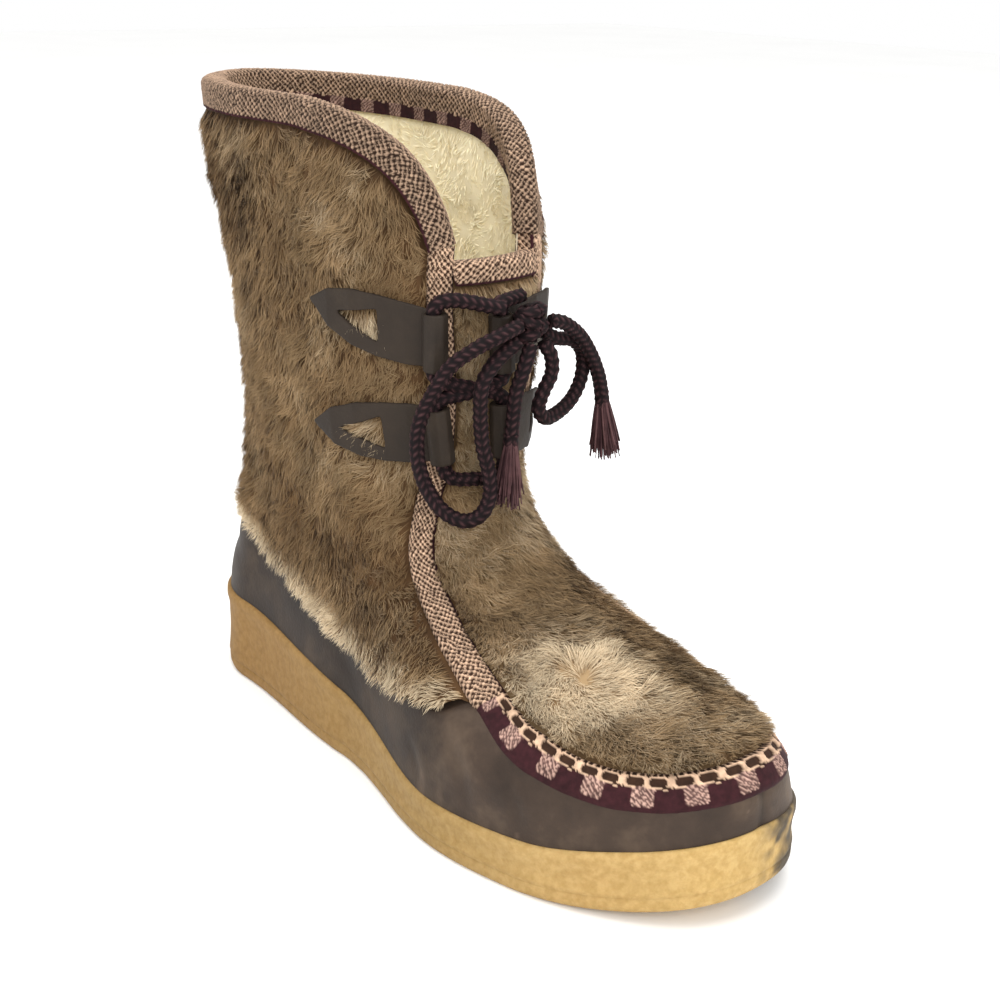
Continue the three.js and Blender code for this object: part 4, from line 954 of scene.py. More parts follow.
# Creases of the leather: side, place round the foot, share of its height, how long,
# how wide (both in millimetres), how deep, and how far it leans
CREASES = [
    (1, 0.36, 0.45, 26, 3.0, 0.8, 1.10), (1, 0.30, 0.40, 20, 2.4, 0.6, 1.25),
    (1, 0.42, 0.35, 18, 2.4, 0.5, 1.00), (1, 0.25, 0.50, 16, 2.2, 0.4, 1.45),
    (1, 0.55, 0.55, 24, 3.4, 0.5, 0.50), (1, 0.86, 0.60, 20, 3.0, 0.5, 0.10),
    (-1, 0.36, 0.45, 24, 3.0, 0.8, 1.10), (-1, 0.29, 0.45, 18, 2.4, 0.6, 1.25),
    (-1, 0.45, 0.40, 18, 2.4, 0.5, 0.90), (-1, 0.82, 0.60, 20, 3.0, 0.5, 0.10)]


BAND_COLUMNS, BAND_ROWS = 260, 30
BAND_TUCK = 0.014
# Painted sheen on the toe: where along the foot it starts, over how much it fades in, and how much lighter
# it makes the leather
TOE_SHEEN_FROM, TOE_SHEEN_FADE, TOE_SHEEN = 150, 80, 0.72


def press_creases(relief, base, side):
    """Takes each crease of one side out of the relief: a soft trough with a low ridge beside it."""
    for where, at, up, long, wide, deep, lean in CREASES:
        if where != side:
            continue
        centre = face(side * at, float(band_level(side, np.array([at]))[0]) * up)
        along = frame_at(np.array([side * at]), np.array([0.1]))[0]
        run = ((base - centre) * unit(along)[0]).sum(-1) * side
        rise = (base - centre)[..., 2]
        p = run * math.cos(lean) + rise * math.sin(lean)
        q = -run * math.sin(lean) + rise * math.cos(lean) + 0.02 * p * p
        trough = np.exp(-(q / wide) ** 2)
        ridge = 0.6 * np.exp(-((q - 1.9 * wide) / (1.3 * wide)) ** 2)
        relief = relief - deep * (np.exp(-(p / (long / 2)) ** 2 * 1.6) * (trough - ridge))
    return relief


def band_tone(points, relief, share):
    """How light the leather is: wear, scratches, painted sheen in streaks and on the toe, painted light and
    shade over its creases and bumps, and painted shade by the sole.
    """
    worn = ease((value_noise(points, 26.0, 8) + 0.1) * 1.6) * 0.30 + 0.10 * value_noise(points, 9.0, 12)
    # Painted sheen in soft upright streaks
    sheen_streak = ease(value_noise(points * [1.0, 1.0, 0.3], 5.0, 15) * 2.2 - 0.5)
    sheen_streak = sheen_streak * ease(value_noise(points, 30.0, 16) * 2)
    # Painted shade along the band's lowest edge, where it meets the sole
    low = 1 - 0.16 * np.exp(-(share * 14) ** 2)
    # Painted light and shade: lighter on the bumps and ridges, darker down in the creases and dips
    relief_shade = np.clip(relief, -0.8, 0.6) * 0.22
    # Painted sheen: the leather lighter towards the toe
    toe_sheen = TOE_SHEEN * ease((points[..., 0] - TOE_SHEEN_FROM) / TOE_SHEEN_FADE)
    scratch = np.abs(value_noise(points * [0.35, 0.35, 1], 2.6, 9)) < 0.012
    scratch = scratch * (value_noise(points, 30.0, 2) > 0.15)
    return (0.78 + worn + relief_shade + 0.8 * sheen_streak + toe_sheen) * low + scratch * 0.7


def make_band(side):
    """The leather band of one side, from the sole up to where it is tucked under the fur."""
    around = np.linspace(1, 0, BAND_COLUMNS)
    top = band_level(side, around)
    share = np.linspace(0, 1, BAND_ROWS)[:, None]
    level = np.vstack([top[None, :] * share, top[None, :] + BAND_TUCK])
    share = np.vstack([share, [[1.0]]])
    grid_around = side * np.broadcast_to(around, level.shape)
    depth = np.full(level.shape, LEATHER_DEPTH)
    depth[-3] = LEATHER_DEPTH - 0.3
    depth[-2:] = GAP
    base = skin(grid_around, level, depth)
    relief = 0.30 * value_noise(base, 18.0, 4) + 0.10 * value_noise(base, 6.0, 6)
    relief = press_creases(relief, base, side)
    normal = frame_at(grid_around, level)[2]
    points = base + normal * (relief * np.minimum(share * 6, 1))[..., None]
    points[0, :, 2] = sole_top(points[0, :, 0]) + 0.1
    from_seam = np.abs(grid_around) * 200
    points = points - normal * (0.5 * np.exp(-from_seam ** 2 / 3))[..., None]
    tone = band_tone(points, relief, share) * (1 - 0.45 * np.exp(-from_seam ** 2 / 1.2))
    colours = np.ones(points.shape) * tone[..., None]
    word = "outer" if side > 0 else "inner"
    quads = grid_faces(*level.shape)[:, ::side]
    obj = mesh_of("leather_" + word, points.reshape(-1, 3), [quads], colours.reshape(-1, 3))
    dress(obj, LEATHER_SKIN, "leather", "leather_band_" + word)


# Ribbon. The chart of its woven edge: p pale thread, h hole, s square of small net, . plum ground
RIBBON_CHART = [
    "phhpphhhpphhpphhhpphhpphhhpphh",
    "phhhphhhpphhhphhhphhhphhhphhhp",
    "phhhphhhpphhhphhhphhhphhhphhhp",
    "ppphppppppppppphppppppppppphpp",
    "ppphhhhhhhhhppppphhhhhhhhhpppp",
    *["pphhhhhhhhhhhppphhhhhhhhhhhppp"] * 3,
    "ppphhhhhhhhhppppphhhhhhhhhpppp",
    "hpppppppsssssspppppppppphhhhhp",
    ".....sssssssssssssss....ppp...",
    *["......sssssssssssss..........."] * 8,
    ".......sssss.sssss............",
    "..............................",
]
CELL = 0.5
RIBBON_PALE = (222, 186, 156)
RIBBON_LILAC = (204, 166, 150)
RIBBON_GROUND = (56, 26, 30)
RIBBON_HOLE = (58, 38, 27)
NET_PITCH = 4.7
SQUARE_PITCH = 3.4


RIBBON_SHOWN_AT = [44, 62, 100]
RIBBON_SHOWN = [RIBBON_WIDTH / 2, 5.0, 4.2]


def ribbon_half(height):
    """Half of the seam ribbon that shows between the furs at a height: less of it up the leg."""
    return np.interp(height, RIBBON_SHOWN_AT, RIBBON_SHOWN)


def net(run, across, pitch, wander):
    """Threads that cross aslant, as a share from nought in the holes to one on a thread."""
    one = np.cos(2 * np.pi * (run + across * 1.1 + wander) / pitch)
    two = np.cos(2 * np.pi * (run - across * 1.1 - wander) / pitch)
    return 1 - ease((np.abs(one * two) - 0.16) / 0.22)


def ribbon_colours(points, run, across, laced):
    """Colour and height of the weave at millimetres along and across, with lace alone where laced."""
    chart = np.array([[".phs".index(c) for c in row] for row in RIBBON_CHART])
    i = np.clip((across / CELL).astype(int), 0, len(RIBBON_CHART) - 1)
    j = (np.floor(run / CELL).astype(int)) % chart.shape[1]
    kind = chart[i, j]
    wander = 1.0 * value_noise(points, 3.0, 61)
    lace = net(run, across, NET_PITCH, wander)
    small = net(run, across, SQUARE_PITCH, wander)
    ground, pale = linear(RIBBON_GROUND), linear(RIBBON_PALE)
    lilac, hole = linear(RIBBON_LILAC), linear(RIBBON_HOLE)
    colour = np.array([ground, pale, hole, lilac])[kind]
    height = np.array([0.0, 0.45, -0.35, 0.3])[kind]
    square = (kind == 3)[..., None]
    colour = np.where(square, ground + (lilac - ground) * (0.15 + 0.85 * small[..., None]), colour)
    height = np.where(kind == 3, 0.1 + 0.35 * small, height)
    colour = np.where(laced[..., None], hole + (pale - hole) * lace[..., None], colour)
    height = np.where(laced, -0.2 + 0.6 * lace, height)
    return colour, height


def evenly_along(path):
    """Length of a path over the upper, and its shares at each cell of the weave."""
    t = np.linspace(0, 1, 1200)
    run = np.concatenate([[0], np.cumsum(np.linalg.norm(np.diff(face(*path(t)), axis=0), axis=1))])
    return run[-1], np.interp(np.linspace(0, run[-1], int(run[-1] / CELL)), run, t)


def weave(points, normal, colours, height, seed):
    rough = value_noise(points, 0.9, seed) * 0.10
    lifted = points + normal * (height + rough)[..., None]
    shade = 1 + 0.16 * value_noise(points, 1.3, seed + 1) + 0.10 * value_noise(points, 14.0, seed + 2)
    return lifted, np.clip(colours * shade[..., None], 0, 1)


def even_section(corners):
    """The folded strip's section with a point at each cell, and how far along it each one is."""
    corners = np.array(corners)
    at = np.concatenate([[0], np.cumsum(np.hypot(*np.diff(corners, axis=0).T))])
    step = np.linspace(0, at[-1], int(at[-1] / CELL) + 1)
    return np.stack([np.interp(step, at, corners[:, k]) for k in (0, 1)], -1), step


def end_caps(points):
    """Closes both ends of a folded strip with a fan of plum ground."""
    rows, columns = points.shape[:2]
    faces, centres = [], []
    for k, column in enumerate((0, columns - 1)):
        ends = np.arange(rows) * columns + column
        middle = np.full(rows - 1, rows * columns + k)
        faces.append(np.stack([ends[:-1], ends[1:], middle], -1))
        centres.append(points[:, column].mean(0))
    return np.vstack(faces), np.array(centres), np.tile(linear(RIBBON_GROUND), (2, 1))


def fold_over(edge, up, normal, corners, length):
    """A strip folded over an edge: its points, its section, and their millimetres along edge and section."""
    section, step = even_section(corners)
    points = edge[None] + up[None] * section[:, :1, None] + normal[None] * section[:, 1:, None]
    run = np.broadcast_to(np.linspace(0, length, len(edge)), points.shape[:2])
    return points, section, run, np.broadcast_to(step[:, None], run.shape)


def add_folded(name, node, points, tint):
    caps, cap_points, cap_tint = end_caps(points)
    all_points = np.vstack([points.reshape(-1, 3), cap_points])
    all_tint = np.vstack([tint.reshape(-1, 3), cap_tint])
    obj = mesh_of(name, all_points, [grid_faces(*points.shape[:2]), caps], all_tint)
    dress(obj, THREAD, "ribbon", node)


# Past this share of its run from the toe the seam ribbon is lace alone
LEG_SHARE = 0.155
# Width of the plum edge of the seam ribbon up the leg, and of the folded ones
SEAM_SELVEDGE = 0.8
FOLD_SELVEDGE = 0.6


def make_seam_ribbon():
    """Along the seam of the front panel: lace alone up the leg, and the whole chart round the toe."""
    length, t = evenly_along(ribbon_run)
    across = np.arange(0, RIBBON_WIDTH + CELL / 2, CELL)
    shape = (len(across), len(t))
    half = ribbon_half(face(*ribbon_run(t))[:, 2])
    offset = (1 - 2 * across / RIBBON_WIDTH)[:, None]
    around, level = beside(ribbon_run, np.broadcast_to(t, shape), offset * half[None, :])
    crown = 1 - np.abs(np.broadcast_to(offset, shape)) ** 6
    base = skin(around, level, GAP + 0.6 + (RIBBON_TOP - GAP - 0.9) * crown)
    run = np.broadcast_to(np.linspace(0, length, len(t)), shape)
    place = np.broadcast_to(across[:, None], shape)
    leg = np.broadcast_to(np.abs(t - 0.5) > LEG_SHARE, shape)
    colours, height = ribbon_colours(base, run, place, leg)
    colours = np.where(((place < SEAM_SELVEDGE) & leg)[..., None], linear(RIBBON_GROUND), colours)
    points, tint = weave(base, frame_at(around, level)[2], colours, height * crown, 11)
    obj = mesh_of("ribbon_seam_weave", points.reshape(-1, 3), [grid_faces(*shape)], tint.reshape(-1, 3))
    dress(obj, THREAD, "ribbon", "ribbon_seam")


# Sections of the folded ribbons: how far above the edge, and how far out from the upper
COLLAR_OUTSIDE, COLLAR_INSIDE = 7.6, 11.0
COLLAR_RIM = [
    (1.3, RIBBON_TOP - 0.5), (2.1, 1.6), (2.35, 0.0), (2.35, -1.8), (2.2, -3.4), (1.6, -4.9), (0.6, -5.6)]
COLLAR_SHADE_OUT, COLLAR_SHADE_IN = 0.56, 0.66
# How much of the collar's strip the squares take, and which millimetres of the chart they show
SQUARES_WIDE = 4.8
SQUARES_FROM, SQUARES_TO = 4.8, 9.9
NOTCH_SIDE = 6.0
NOTCH_RIM = [
    (1.2, RIBBON_TOP - 0.9), (1.7, 1.4), (1.8, 0.0), (1.8, -1.8), (1.6, -3.4), (0.9, -4.4)]


def make_collar_ribbon():
    """Folded over the free edge: lace outside and over the rim, squares along its lower edge inside."""
    length, t = evenly_along(collar_edge)
    place = collar_edge(t)
    edge = skin(*place, 0 * t)
    normal = frame_at(*place)[2]
    up = np.cross(unit(np.gradient(edge, axis=0)), normal)
    up = unit(up * np.sign(up[:, 2:]))
    corners = [(away, RIBBON_TOP - 0.1) for away in np.arange(-COLLAR_OUTSIDE, 0.5, CELL)] + COLLAR_RIM
    corners += [(away, -WALL - 2.3) for away in np.arange(0.0, -COLLAR_INSIDE - 0.1, -CELL)]
    points, section, run, step = fold_over(edge, up, normal, corners, length)
    end = step[-1, 0]
    laced = step < end - SQUARES_WIDE
    squares = np.interp(step, [end - 5.0, end], [SQUARES_FROM, SQUARES_TO])
    across = np.where(laced, step, squares)
    colours, height = ribbon_colours(points, run, across, laced)
    slope = unit(np.stack([np.gradient(section[:, 1]), -np.gradient(section[:, 0])], -1))
    out = -(up[None] * slope[:, :1, None] + normal[None] * slope[:, 1:, None])
    out = out * np.sign((out[2] * normal).sum(-1).mean())
    colours = colours * np.where(step < COLLAR_OUTSIDE + 3.0, COLLAR_SHADE_OUT, COLLAR_SHADE_IN)[..., None]
    colours = np.where((step < FOLD_SELVEDGE)[..., None], linear(RIBBON_GROUND), colours)
    points, tint = weave(points, out, colours, height * 0.8, 21)
    add_folded("ribbon_collar_weave", "ribbon_collar", points, tint)


def notch_under_collar(t):
    """The notch's edge, on past both of its corners and up them."""
    past = 0.006
    around = NOTCH_OUT + past - (NOTCH_OUT + NOTCH_IN + 2 * past) * t
    return around, edge_level(around)


def make_notch_ribbon():
    """Folded over the top of the front panel, lace alone."""
    length, t = evenly_along(notch_under_collar)
    place = notch_under_collar(t)
    edge = skin(*place, 0 * t)
    _, up, normal = frame_at(*place)
    corners = [(away, RIBBON_TOP - 0.5) for away in np.arange(-NOTCH_SIDE, 0.5, CELL)] + NOTCH_RIM
    corners += [(away, -WALL - 1.3) for away in np.arange(0.0, -NOTCH_SIDE - 0.1, -CELL)]
    points, _, run, step = fold_over(edge, unit(up), normal, corners, length)
    colours, height = ribbon_colours(points, run, step, np.ones(run.shape, bool))
    colours = np.where((step < FOLD_SELVEDGE)[..., None], linear(RIBBON_GROUND), colours)
    points, tint = weave(points, np.broadcast_to(normal[None], points.shape), colours, height * 0.5, 31)
    add_folded("ribbon_notch_weave", "ribbon_notch", points, tint)


# Tabs: the solid's own form, with its edges softened
TAB_VOXEL = 0.00042
TAB_SOFTENING = 5
TAB_THINNING = 0.3


def make_tab(tab):
    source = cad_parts[tab["name"]]
    obj = bpy.data.objects.new(tab["name"] + "_skin", source.data.copy())
    bpy.context.scene.collection.objects.link(obj)
    obj.data.materials.clear()
    remesh = obj.modifiers.new("remesh", "REMESH")
    remesh.mode = "VOXEL"
    remesh.voxel_size = TAB_VOXEL
    remesh.use_smooth_shade = True
    soften = obj.modifiers.new("soften", "SMOOTH")
    soften.factor = 0.5
    soften.iterations = TAB_SOFTENING
    thin = obj.modifiers.new("thin", "DECIMATE")
    thin.ratio = TAB_THINNING
    bpy.context.view_layer.update()
    mesh = bpy.data.meshes.new_from_object(obj.evaluated_get(bpy.context.evaluated_depsgraph_get()))
    obj.modifiers.clear()
    obj.data = mesh
    co = np.zeros(len(mesh.vertices) * 3, np.float32)
    mesh.vertices.foreach_get("co", co)
    points = co.reshape(-1, 3) * 1000.0 - SHIFT
    tone = 1 + 0.10 * value_noise(points, 9.0, 4) + 0.05 * value_noise(points, 2.0, 3)
    tint_points(mesh, np.repeat(tone[:, None], 3, 1))
    mesh.polygons.foreach_set("use_smooth", np.ones(len(mesh.polygons), bool))
    dress(obj, TAB_SKIN, "tab_leather", tab["name"])


# Fur
FUR_ROOT = (88, 63, 38)
FUR_MID = (124, 96, 64)
FUR_TIP = (172, 144, 106)
FUR_PALE = (240, 220, 186)
FUR_HAIRS = 55000
FUR_LENGTH = 6.6
FUR_LIFT = 3.7
FUR_WIDTH = 0.16
FUR_GRID = 110
HAIRS_IN_LOCK = 28
FRINGE_FROM, FRINGE_FADE, FRINGE_PALE = 2.0, 13.0, 0.95
HOLE_PALE = 0.6


def sample_patch(place_at, count, rng, resolution=140):
    """Random places on a patch of the upper, spread evenly over its area."""
    u = np.linspace(0, 1, resolution)
    gu, gv = np.meshgrid(u, u, indexing="ij")
    points = face(*place_at(gu, gv))
    du, dv = points[1:, :-1] - points[:-1, :-1], points[:-1, 1:] - points[:-1, :-1]
    area = np.linalg.norm(np.cross(du, dv), axis=-1)
    share = np.cumsum(area.ravel())
    pick = np.searchsorted(share, rng.random(count) * share[-1])
    i, j = np.unravel_index(np.minimum(pick, area.size - 1), area.shape)
    a = (i + rng.random(count)) / (resolution - 1)
    b = (j + rng.random(count)) / (resolution - 1)
    return place_at(a, b)


def nearest(points, centres):
    """For each point the number of the nearest centre, and how far away it is."""
    tree = kdtree.KDTree(len(centres))
    for i, centre in enumerate(centres):
        tree.insert(centre, i)
    tree.balance()
    found = np.array([tree.find(p)[1:] for p in points])
    return found[:, 0].astype(int), found[:, 1]


def distance_to(points, centres):
    return nearest(points, centres)[1]


def tab_cover():
    """Places spread over the four tabs, and places in their holes."""
    covered, holes = [], []
    for tab in TABS:
        along, wide = np.linspace(0, TAB_LENGTH * 0.98, 44), np.linspace(-1, 1, 15)
        back, across = np.meshgrid(along, wide, indexing="ij")
        share = back / TAB_LENGTH
        up = across * TAB_WIDTH / 2 * tab_half(share)["half"]
        points = tab_point(tab, back.ravel(), up.ravel(), np.full(back.size, 1.0))
        opening = np.clip((TAB_HOLE["apex"] - share) / (TAB_HOLE["apex"] - TAB_HOLE["base"]), 0, 1)
        opening = np.where(share > TAB_HOLE["base"], opening * TAB_HOLE["half"] * TAB_WIDTH, 0)
        inside = (np.abs(up) < opening).ravel()
        covered.append(points[~inside])
        holes.append(points[inside])
    return np.vstack(covered), np.vstack(holes)


COVERED_BY_TABS, SEEN_THROUGH_TABS = tab_cover()


def under_tabs(points):
    """Share from 0 to 1 of how far a point lies under a tab."""
    return ease(1 - (distance_to(points, COVERED_BY_TABS) - 1.2) / 2.2)


def blades(root, way, out, length, lift, width, seed, colour_root, colour_tip, curl):
    """Flat tapered hairs: points, quads, tips and colours."""
    rng = np.random.default_rng(seed)
    count = len(root)
    side = unit(np.cross(out, way))
    twist = (rng.random(count) - 0.5)[:, None] * 1.6
    wide = unit(side + out * twist) * width
    bend = side * (curl * length)[:, None]
    bow = 0.55
    middle = root + way * (length * bow)[:, None] + out * (lift * bow ** 0.75)[:, None] + bend * bow * bow
    tip = root + way * length[:, None] + out * lift[:, None] + bend
    points = np.stack([root - wide, root + wide, middle - wide * 0.85, middle + wide * 0.85, tip], 1)
    halfway = colour_root * 0.4 + colour_tip * 0.6
    colours = np.stack([colour_root, colour_root, halfway, halfway, colour_tip], 1)
    base = np.arange(count)[:, None] * 5
    return points.reshape(-1, 3), base + [0, 1, 3, 2], base + [2, 3, 4], colours.reshape(-1, 3)


SEAM_POINTS = face(*ribbon_run(np.linspace(0, 1, 900)))
COLLAR_POINTS = face(*collar_edge(np.linspace(0, 1, 700)))
NOTCH_POINTS = face(*notch_edge(np.linspace(0, 1, 60)))
LEATHER_ROUND = np.linspace(0.317, 1, 160)
LEATHER_LEVEL = band_top(LEATHER_ROUND)["level"]
LEATHER_POINTS = np.vstack([face(side * LEATHER_ROUND, LEATHER_LEVEL) for side in (1, -1)])


# Room that the hairs leave: beside the seam ribbon by height, and below the collar's and the notch's edge
SEAM_ROOM_AT, SEAM_ROOM = [50, 75], [0.9, 0.1]
COLLAR_ROOM = 8.2
NOTCH_ROOM = 6.6


def clear_of_trim(points):
    """How far points are from the ribbons' edges, less than nought under them."""
    room = np.interp(points[:, 2], SEAM_ROOM_AT, SEAM_ROOM)
    clear = np.minimum(distance_to(points, SEAM_POINTS) - ribbon_half(points[:, 2]) - room,
                       distance_to(points, COLLAR_POINTS) - COLLAR_ROOM)
    return np.minimum(clear, distance_to(points, NOTCH_POINTS) - NOTCH_ROOM)


def pile_ground(place_at, seed, tone_at):
    """The dark uneven ground that the hairs of a piece of fur stand on."""
    u = np.linspace(0, 1, FUR_GRID)
    around, level = place_at(*np.meshgrid(u, u, indexing="ij"))
    ground = face(around, level)
    depth = 2.9 + 0.6 * value_noise(ground, 6.0, seed) + 0.3 * value_noise(ground, 2.5, seed + 1)
    keep = np.clip(clear_of_trim(ground.reshape(-1, 3)) / 2.5, 0, 1).reshape(depth.shape)
    depth = np.where(keep > 0.02, GAP + 0.4 + (depth - GAP - 0.4) * ease(keep * 1.5), GAP + 0.3)
    ground = skin(around, level, depth)
    pale = np.clip(tone_at(ground.reshape(-1, 3)).reshape(depth.shape) - 0.35, 0, 1)[..., None]
    tint = linear(FUR_ROOT) * (0.95 + 0.2 * value_noise(ground, 5.0, seed + 3))[..., None]
    tint = tint + (linear(FUR_TIP) - tint) * pale
    return ground.reshape(-1, 3), grid_faces(FUR_GRID, FUR_GRID), np.zeros((0, 3), int), tint.reshape(-1, 3)


def hair_colours(tone):
    """Colours of hairs at the root and at the tip, for tones from 0 for brown to 1 for cream."""
    root, mid, tip, pale = [linear(c) for c in (FUR_ROOT, FUR_MID, FUR_TIP, FUR_PALE)]
    lighter = tip + (pale - tip) * np.clip(tone * 2 - 1, 0, 1)
    ends = np.where(tone < 0.5, mid + (tip - mid) * tone * 2, lighter)
    return root * (0.9 + 0.5 * tone) + (tip - root) * np.clip(tone - 0.45, 0, 1), ends


def pile_patch(name, node, place_at, flow_at, seed, tone_at):
    """A piece of fur: its ground, and hairs that gather into locks over it."""
    rng = np.random.default_rng(seed)
    base = pile_ground(place_at, seed, tone_at)
    around, level = sample_patch(place_at, int(FUR_HAIRS * 1.25), rng)
    feet = face(around, level)
    chosen = np.flatnonzero(clear_of_trim(feet) > 0)[:FUR_HAIRS]
    around, level, feet = around[chosen], level[chosen], feet[chosen]
    count = len(feet)
    along, upward, out = frame_at(around, level)
    way = flow_at(feet, unit(along), unit(upward), out)
    way = unit(way - out * (way * out).sum(-1, keepdims=True))

    # Each hair belongs to a lock, leans with it and is pulled to the tip of its middle hair
    centre = rng.choice(count, max(count // HAIRS_IN_LOCK, 8), replace=False)
    group = nearest(feet, feet[centre])[0]
    swing = ((rng.random(len(centre)) - 0.5) * 1.0)[group] + (rng.random(count) - 0.5) * 1.0
    way = way * np.cos(swing)[:, None] + np.cross(out, way) * np.sin(swing)[:, None]
    long = FUR_LENGTH * (0.65 + 0.6 * rng.random(count))
    high = FUR_LIFT * (0.55 + 0.7 * rng.random(count)) * (1 + 0.35 * value_noise(feet, 8.0, seed + 5))

    # Pressed down under the tabs, up through their holes, and short beside ribbon and leather
    pressed = np.maximum(under_tabs(feet), under_tabs(feet + way * (long * 0.8)[:, None]))
    through = ease(1 - (distance_to(feet, SEEN_THROUGH_TABS) - 0.6) / 1.5)
    pressed = pressed * (1 - through)
    high = high * (1 - 0.7 * pressed) + 0.5 * pressed + 1.6 * through
    long = long * (1 - 0.35 * pressed)
    from_leather = distance_to(feet, LEATHER_POINTS)
    from_ribbon = distance_to(feet, SEAM_POINTS) - ribbon_half(feet[:, 2])
    short = (0.6 + 0.4 * ease(from_leather / 9.0)) * (0.42 + 0.58 * ease(from_ribbon / 7.0))
    long = long * short
    high = high * (0.4 + 0.6 * short)
    root = feet + out * (2.2 + 0.6 * pressed)[:, None]
    tip = root + way * long[:, None] + out * high[:, None]
    pull = (0.12 + 0.30 * rng.random(count))[:, None]
    vector = tip + (tip[centre][group] - tip) * pull - root
    rise = np.maximum((vector * out).sum(-1), 0.3)
    flat = vector - out * (vector * out).sum(-1)[:, None]

    lock_tone = rng.random(len(centre))[group]
    fringe = FRINGE_PALE * (1 - ease((from_leather - FRINGE_FROM) / FRINGE_FADE)) + HOLE_PALE * through
    tone = tone_at(feet) + fringe + 0.12 * (lock_tone - 0.5) + 0.30 * (rng.random(count) - 0.5)
    patches = 0.20 * value_noise(feet, 12.0, seed + 7) + 0.10 * value_noise(feet, 5.0, seed + 8)
    begin, ends = hair_colours(np.clip(tone + patches, 0, 1.2)[:, None])
    curl = ((rng.random(len(centre)) - 0.5) * 0.9)[group] + (rng.random(count) - 0.5) * 0.7
    reach = np.linalg.norm(flat, axis=-1)
    hair = blades(root, unit(flat), out, reach, rise, FUR_WIDTH, seed + 9, begin, ends, curl)
    points, quads, tris, tint = joined([base, hair])
    dress(mesh_of(name, points, [quads, tris], tint), FUR, "plush", node)


def side_flow(side):
    """The hairs of a side lie downwards, with slow swirls."""
    def flow(points, along, upward, out):
        swirl = value_noise(points, 34.0, 3)[:, None] * 1.0 + value_noise(points, 13.0, 8)[:, None] * 0.55
        return -upward * (1.0 + 0.25 * value_noise(points, 20.0, 5)[:, None]) + along * side * (0.25 + swirl)
    return flow


# The whorl of pale fur on the toe: its middle, and how far it combs and lightens the fur round it
WHORL = np.array([206.0, -20.0, 61.0])
WHORL_REACH = 22.0
WHORL_PALE = 17.5


def panel_flow(points, along, upward, out):
    """The hairs of the front panel lie towards the toe, and fan out of the whorl."""
    away = points - WHORL
    reach = np.linalg.norm(away, axis=-1, keepdims=True)
    share = 0.65 * np.exp(-(reach / WHORL_REACH) ** 2)
    swirl = value_noise(points, 20.0, 4)[:, None] * 0.7 + value_noise(points, 10.0, 9)[:, None] * 0.4
    down = -upward * 1.0 + along * swirl + np.array([0.2, 0.0, 0.0])
    curl = np.cross(out, unit(away))
    stray = along * value_noise(points, 4.0, 21)[:, None] + upward * value_noise(points, 4.0, 22)[:, None]
    return down * (1 - share) + (unit(away) + curl * 0.8 + stray * 0.9) * share


def side_tone(points):
    """Paler to the top of the leg, in slow patches."""
    return 0.28 + 0.10 * ease((points[:, 2] - 130) / 60) + 0.24 * value_noise(points, 26.0, 2)


def panel_tone(points):
    """Paler at the toe and up the instep, palest in the whorl."""
    reach = np.linalg.norm(points - WHORL, axis=-1)
    toe = ease((points[:, 0] - 190) / 45) * 0.06
    instep = 0.12 * ease((points[:, 2] - 62) / 20)
    pale = 1.05 * np.exp(-((reach + 5.0 * value_noise(points, 9.0, 5)) / WHORL_PALE) ** 2)
    return 0.48 + pale + toe + instep + 0.18 * value_noise(points, 22.0, 2)


def make_fur():
    for side, word in ((1, "outer"), (-1, "inner")):
        pile_patch("fur_side_" + word, "plush_side_" + word, lambda u, v, s=side: side_place(s, u, v),
                   side_flow(side), 40 + side, side_tone)
    pile_patch("fur_front", "plush_front_panel", lambda u, v: panel_place(u * 2 - 1, v),
               panel_flow, 77, panel_tone)


# Lining
# The lining's own cream, painted paler than the insole's fleece as light for the inside of the leg that the
# lamps hardly reach
LINING_GROUND = (255, 243, 208)
LINING_ROOT = (255, 238, 198)
LINING_TIP = (255, 247, 218)
LINING_HAIRS = 26000
LINING_WIDTH = 0.22
LINING_COLUMNS, LINING_ROWS = 200, 90
BEHIND_RIBBON = 0.014
HAIRS_FROM = 0.45
INSIDE_COLLAR, INSIDE_NOTCH = 11.0, 6.5


def lining_ground():
    """The fleece inside the leg, lumpy below the collar, up to behind the ribbons."""
    around = np.linspace(0, 2, LINING_COLUMNS, endpoint=False)
    beside_it = [edge_level((around + step) % 2) for step in (BEHIND_RIBBON, -BEHIND_RIBBON)]
    share = np.linspace(0, 1, LINING_ROWS)[:, None]
    level = np.maximum(*beside_it)[None, :] * share
    grid_around = np.broadcast_to(around, level.shape)
    inner = skin(grid_around, level, np.full(level.shape, -WALL - 0.4))
    lumps = 0.9 * value_noise(inner, 5.0, 2) + 0.5 * value_noise(inner, 2.4, 6)
    inner = inner + frame_at(grid_around, level)[2] * (lumps * np.minimum((1 - share) * 8, 1))[..., None]
    tone = 0.92 + 0.08 * value_noise(inner, 6.0, 3)
    tint = linear(LINING_GROUND) * tone[..., None]
    quads = grid_faces(LINING_ROWS, LINING_COLUMNS, wrap=True)[:, ::-1]
    return inner.reshape(-1, 3), quads, np.zeros((0, 3), int), tint.reshape(-1, 3)


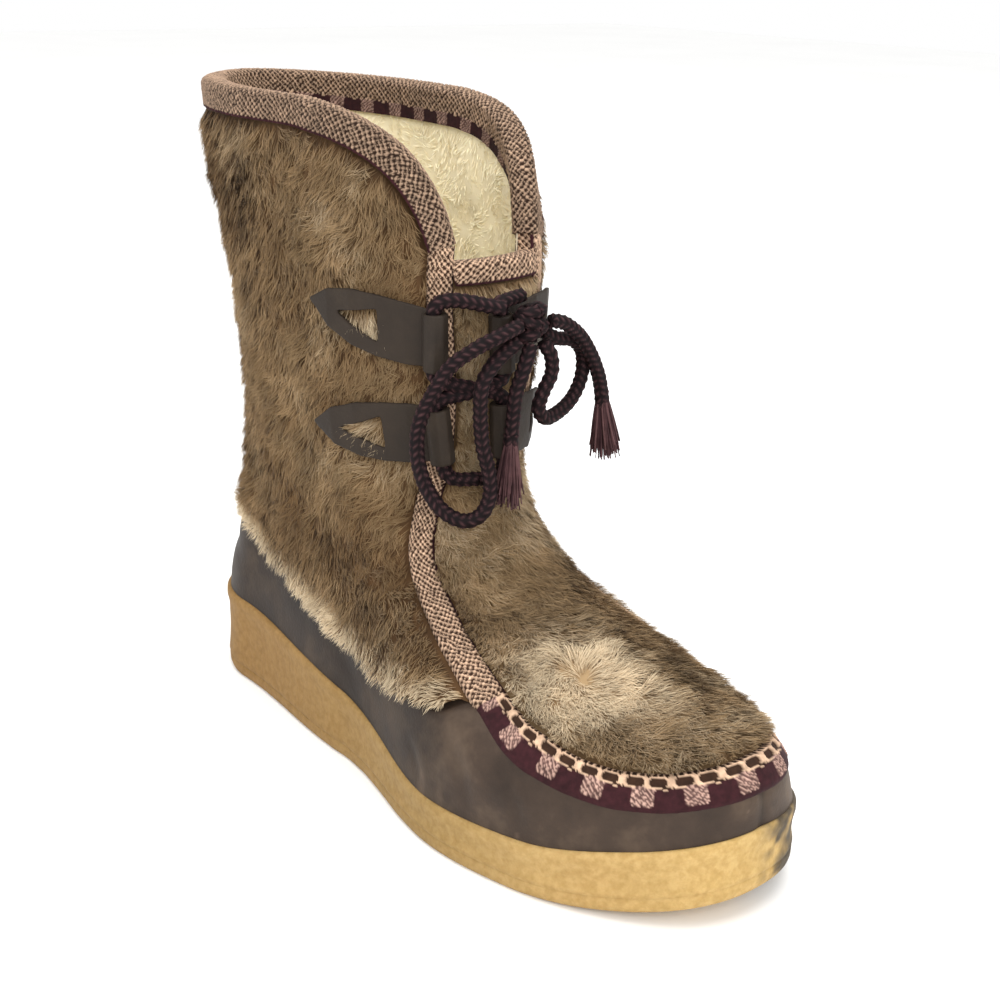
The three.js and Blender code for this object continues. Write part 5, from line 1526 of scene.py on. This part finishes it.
def make_lining():
    rng = np.random.default_rng(3)

    def place(u, v):
        turn = u * 2
        return turn, edge_level(turn) * (HAIRS_FROM + (1 - HAIRS_FROM) * v)

    around, level = sample_patch(place, LINING_HAIRS, rng)
    feet = face(around, level)
    kept = distance_to(feet, COLLAR_POINTS) > INSIDE_COLLAR
    kept &= distance_to(feet, NOTCH_POINTS) > INSIDE_NOTCH
    around, level, feet = around[kept], level[kept], feet[kept]
    along, upward, out = frame_at(around, level)
    swirl = value_noise(feet, 9.0, 4)[:, None] * 1.6
    swing = value_noise(feet, 7.0, 7)[:, None] * 1.6
    way = unit(unit(along) * swirl - unit(upward) * (0.4 + swing))
    root = feet - out * (WALL + 0.2)
    long = 1.8 + 1.4 * rng.random(len(feet))
    high = 0.8 + 0.9 * rng.random(len(feet))
    shade = (0.86 + 0.2 * rng.random(len(feet)))[:, None]
    curl = (rng.random(len(feet)) - 0.5) * 1.2
    hair = blades(root, way, -out, long, high, LINING_WIDTH, 8,
                  linear(LINING_ROOT) * shade, linear(LINING_TIP) * shade, curl)
    points, quads, tris, tint = joined([lining_ground(), hair])
    dress(mesh_of("lining_pile", points, [quads, tris], np.clip(tint, 0, 1)), FLEECE, "lining", "upper")


# Room
# The lamps: where each stands, how wide it is and its power, in metres and watts
LAMPS = {"key": ((1.5, -0.9, 1.1), 1.0, 17.0), "fill": ((-0.4, -1.6, 1.4), 1.4, 6.0),
         "top": ((0.0, 0.1, 1.7), 1.5, 19.0)}
LAMPS_AIM = (0, 0, 0.1)


def make_room():
    bpy.ops.mesh.primitive_plane_add(size=8, location=(0, 0, 0))
    floor = bpy.context.object
    floor.name = "floor"
    floor.data.materials.append(floor_material())
    world = bpy.data.worlds.new("world")
    world.use_nodes = True
    sky = world.node_tree.nodes["Background"]
    sky.inputs["Color"].default_value = (1, 1, 1, 1)
    sky.inputs["Strength"].default_value = 1.0
    bpy.context.scene.world = world
    for name, (at, size, power) in LAMPS.items():
        light = bpy.data.lights.new(name, "AREA")
        light.size = size
        light.energy = power
        lamp = bpy.data.objects.new(name, light)
        bpy.context.scene.collection.objects.link(lamp)
        lamp.location = at
        lamp.rotation_euler = (Vector(LAMPS_AIM) - Vector(at)).to_track_quat("-Z", "Y").to_euler()


make_bow()
make_lacing()
make_sole()
make_insole()
for foot_side in (1, -1):
    make_band(foot_side)
make_seam_ribbon()
make_collar_ribbon()
make_notch_ribbon()
for each_tab in TABS:
    make_tab(each_tab)
make_lining()
make_fur()
make_room()
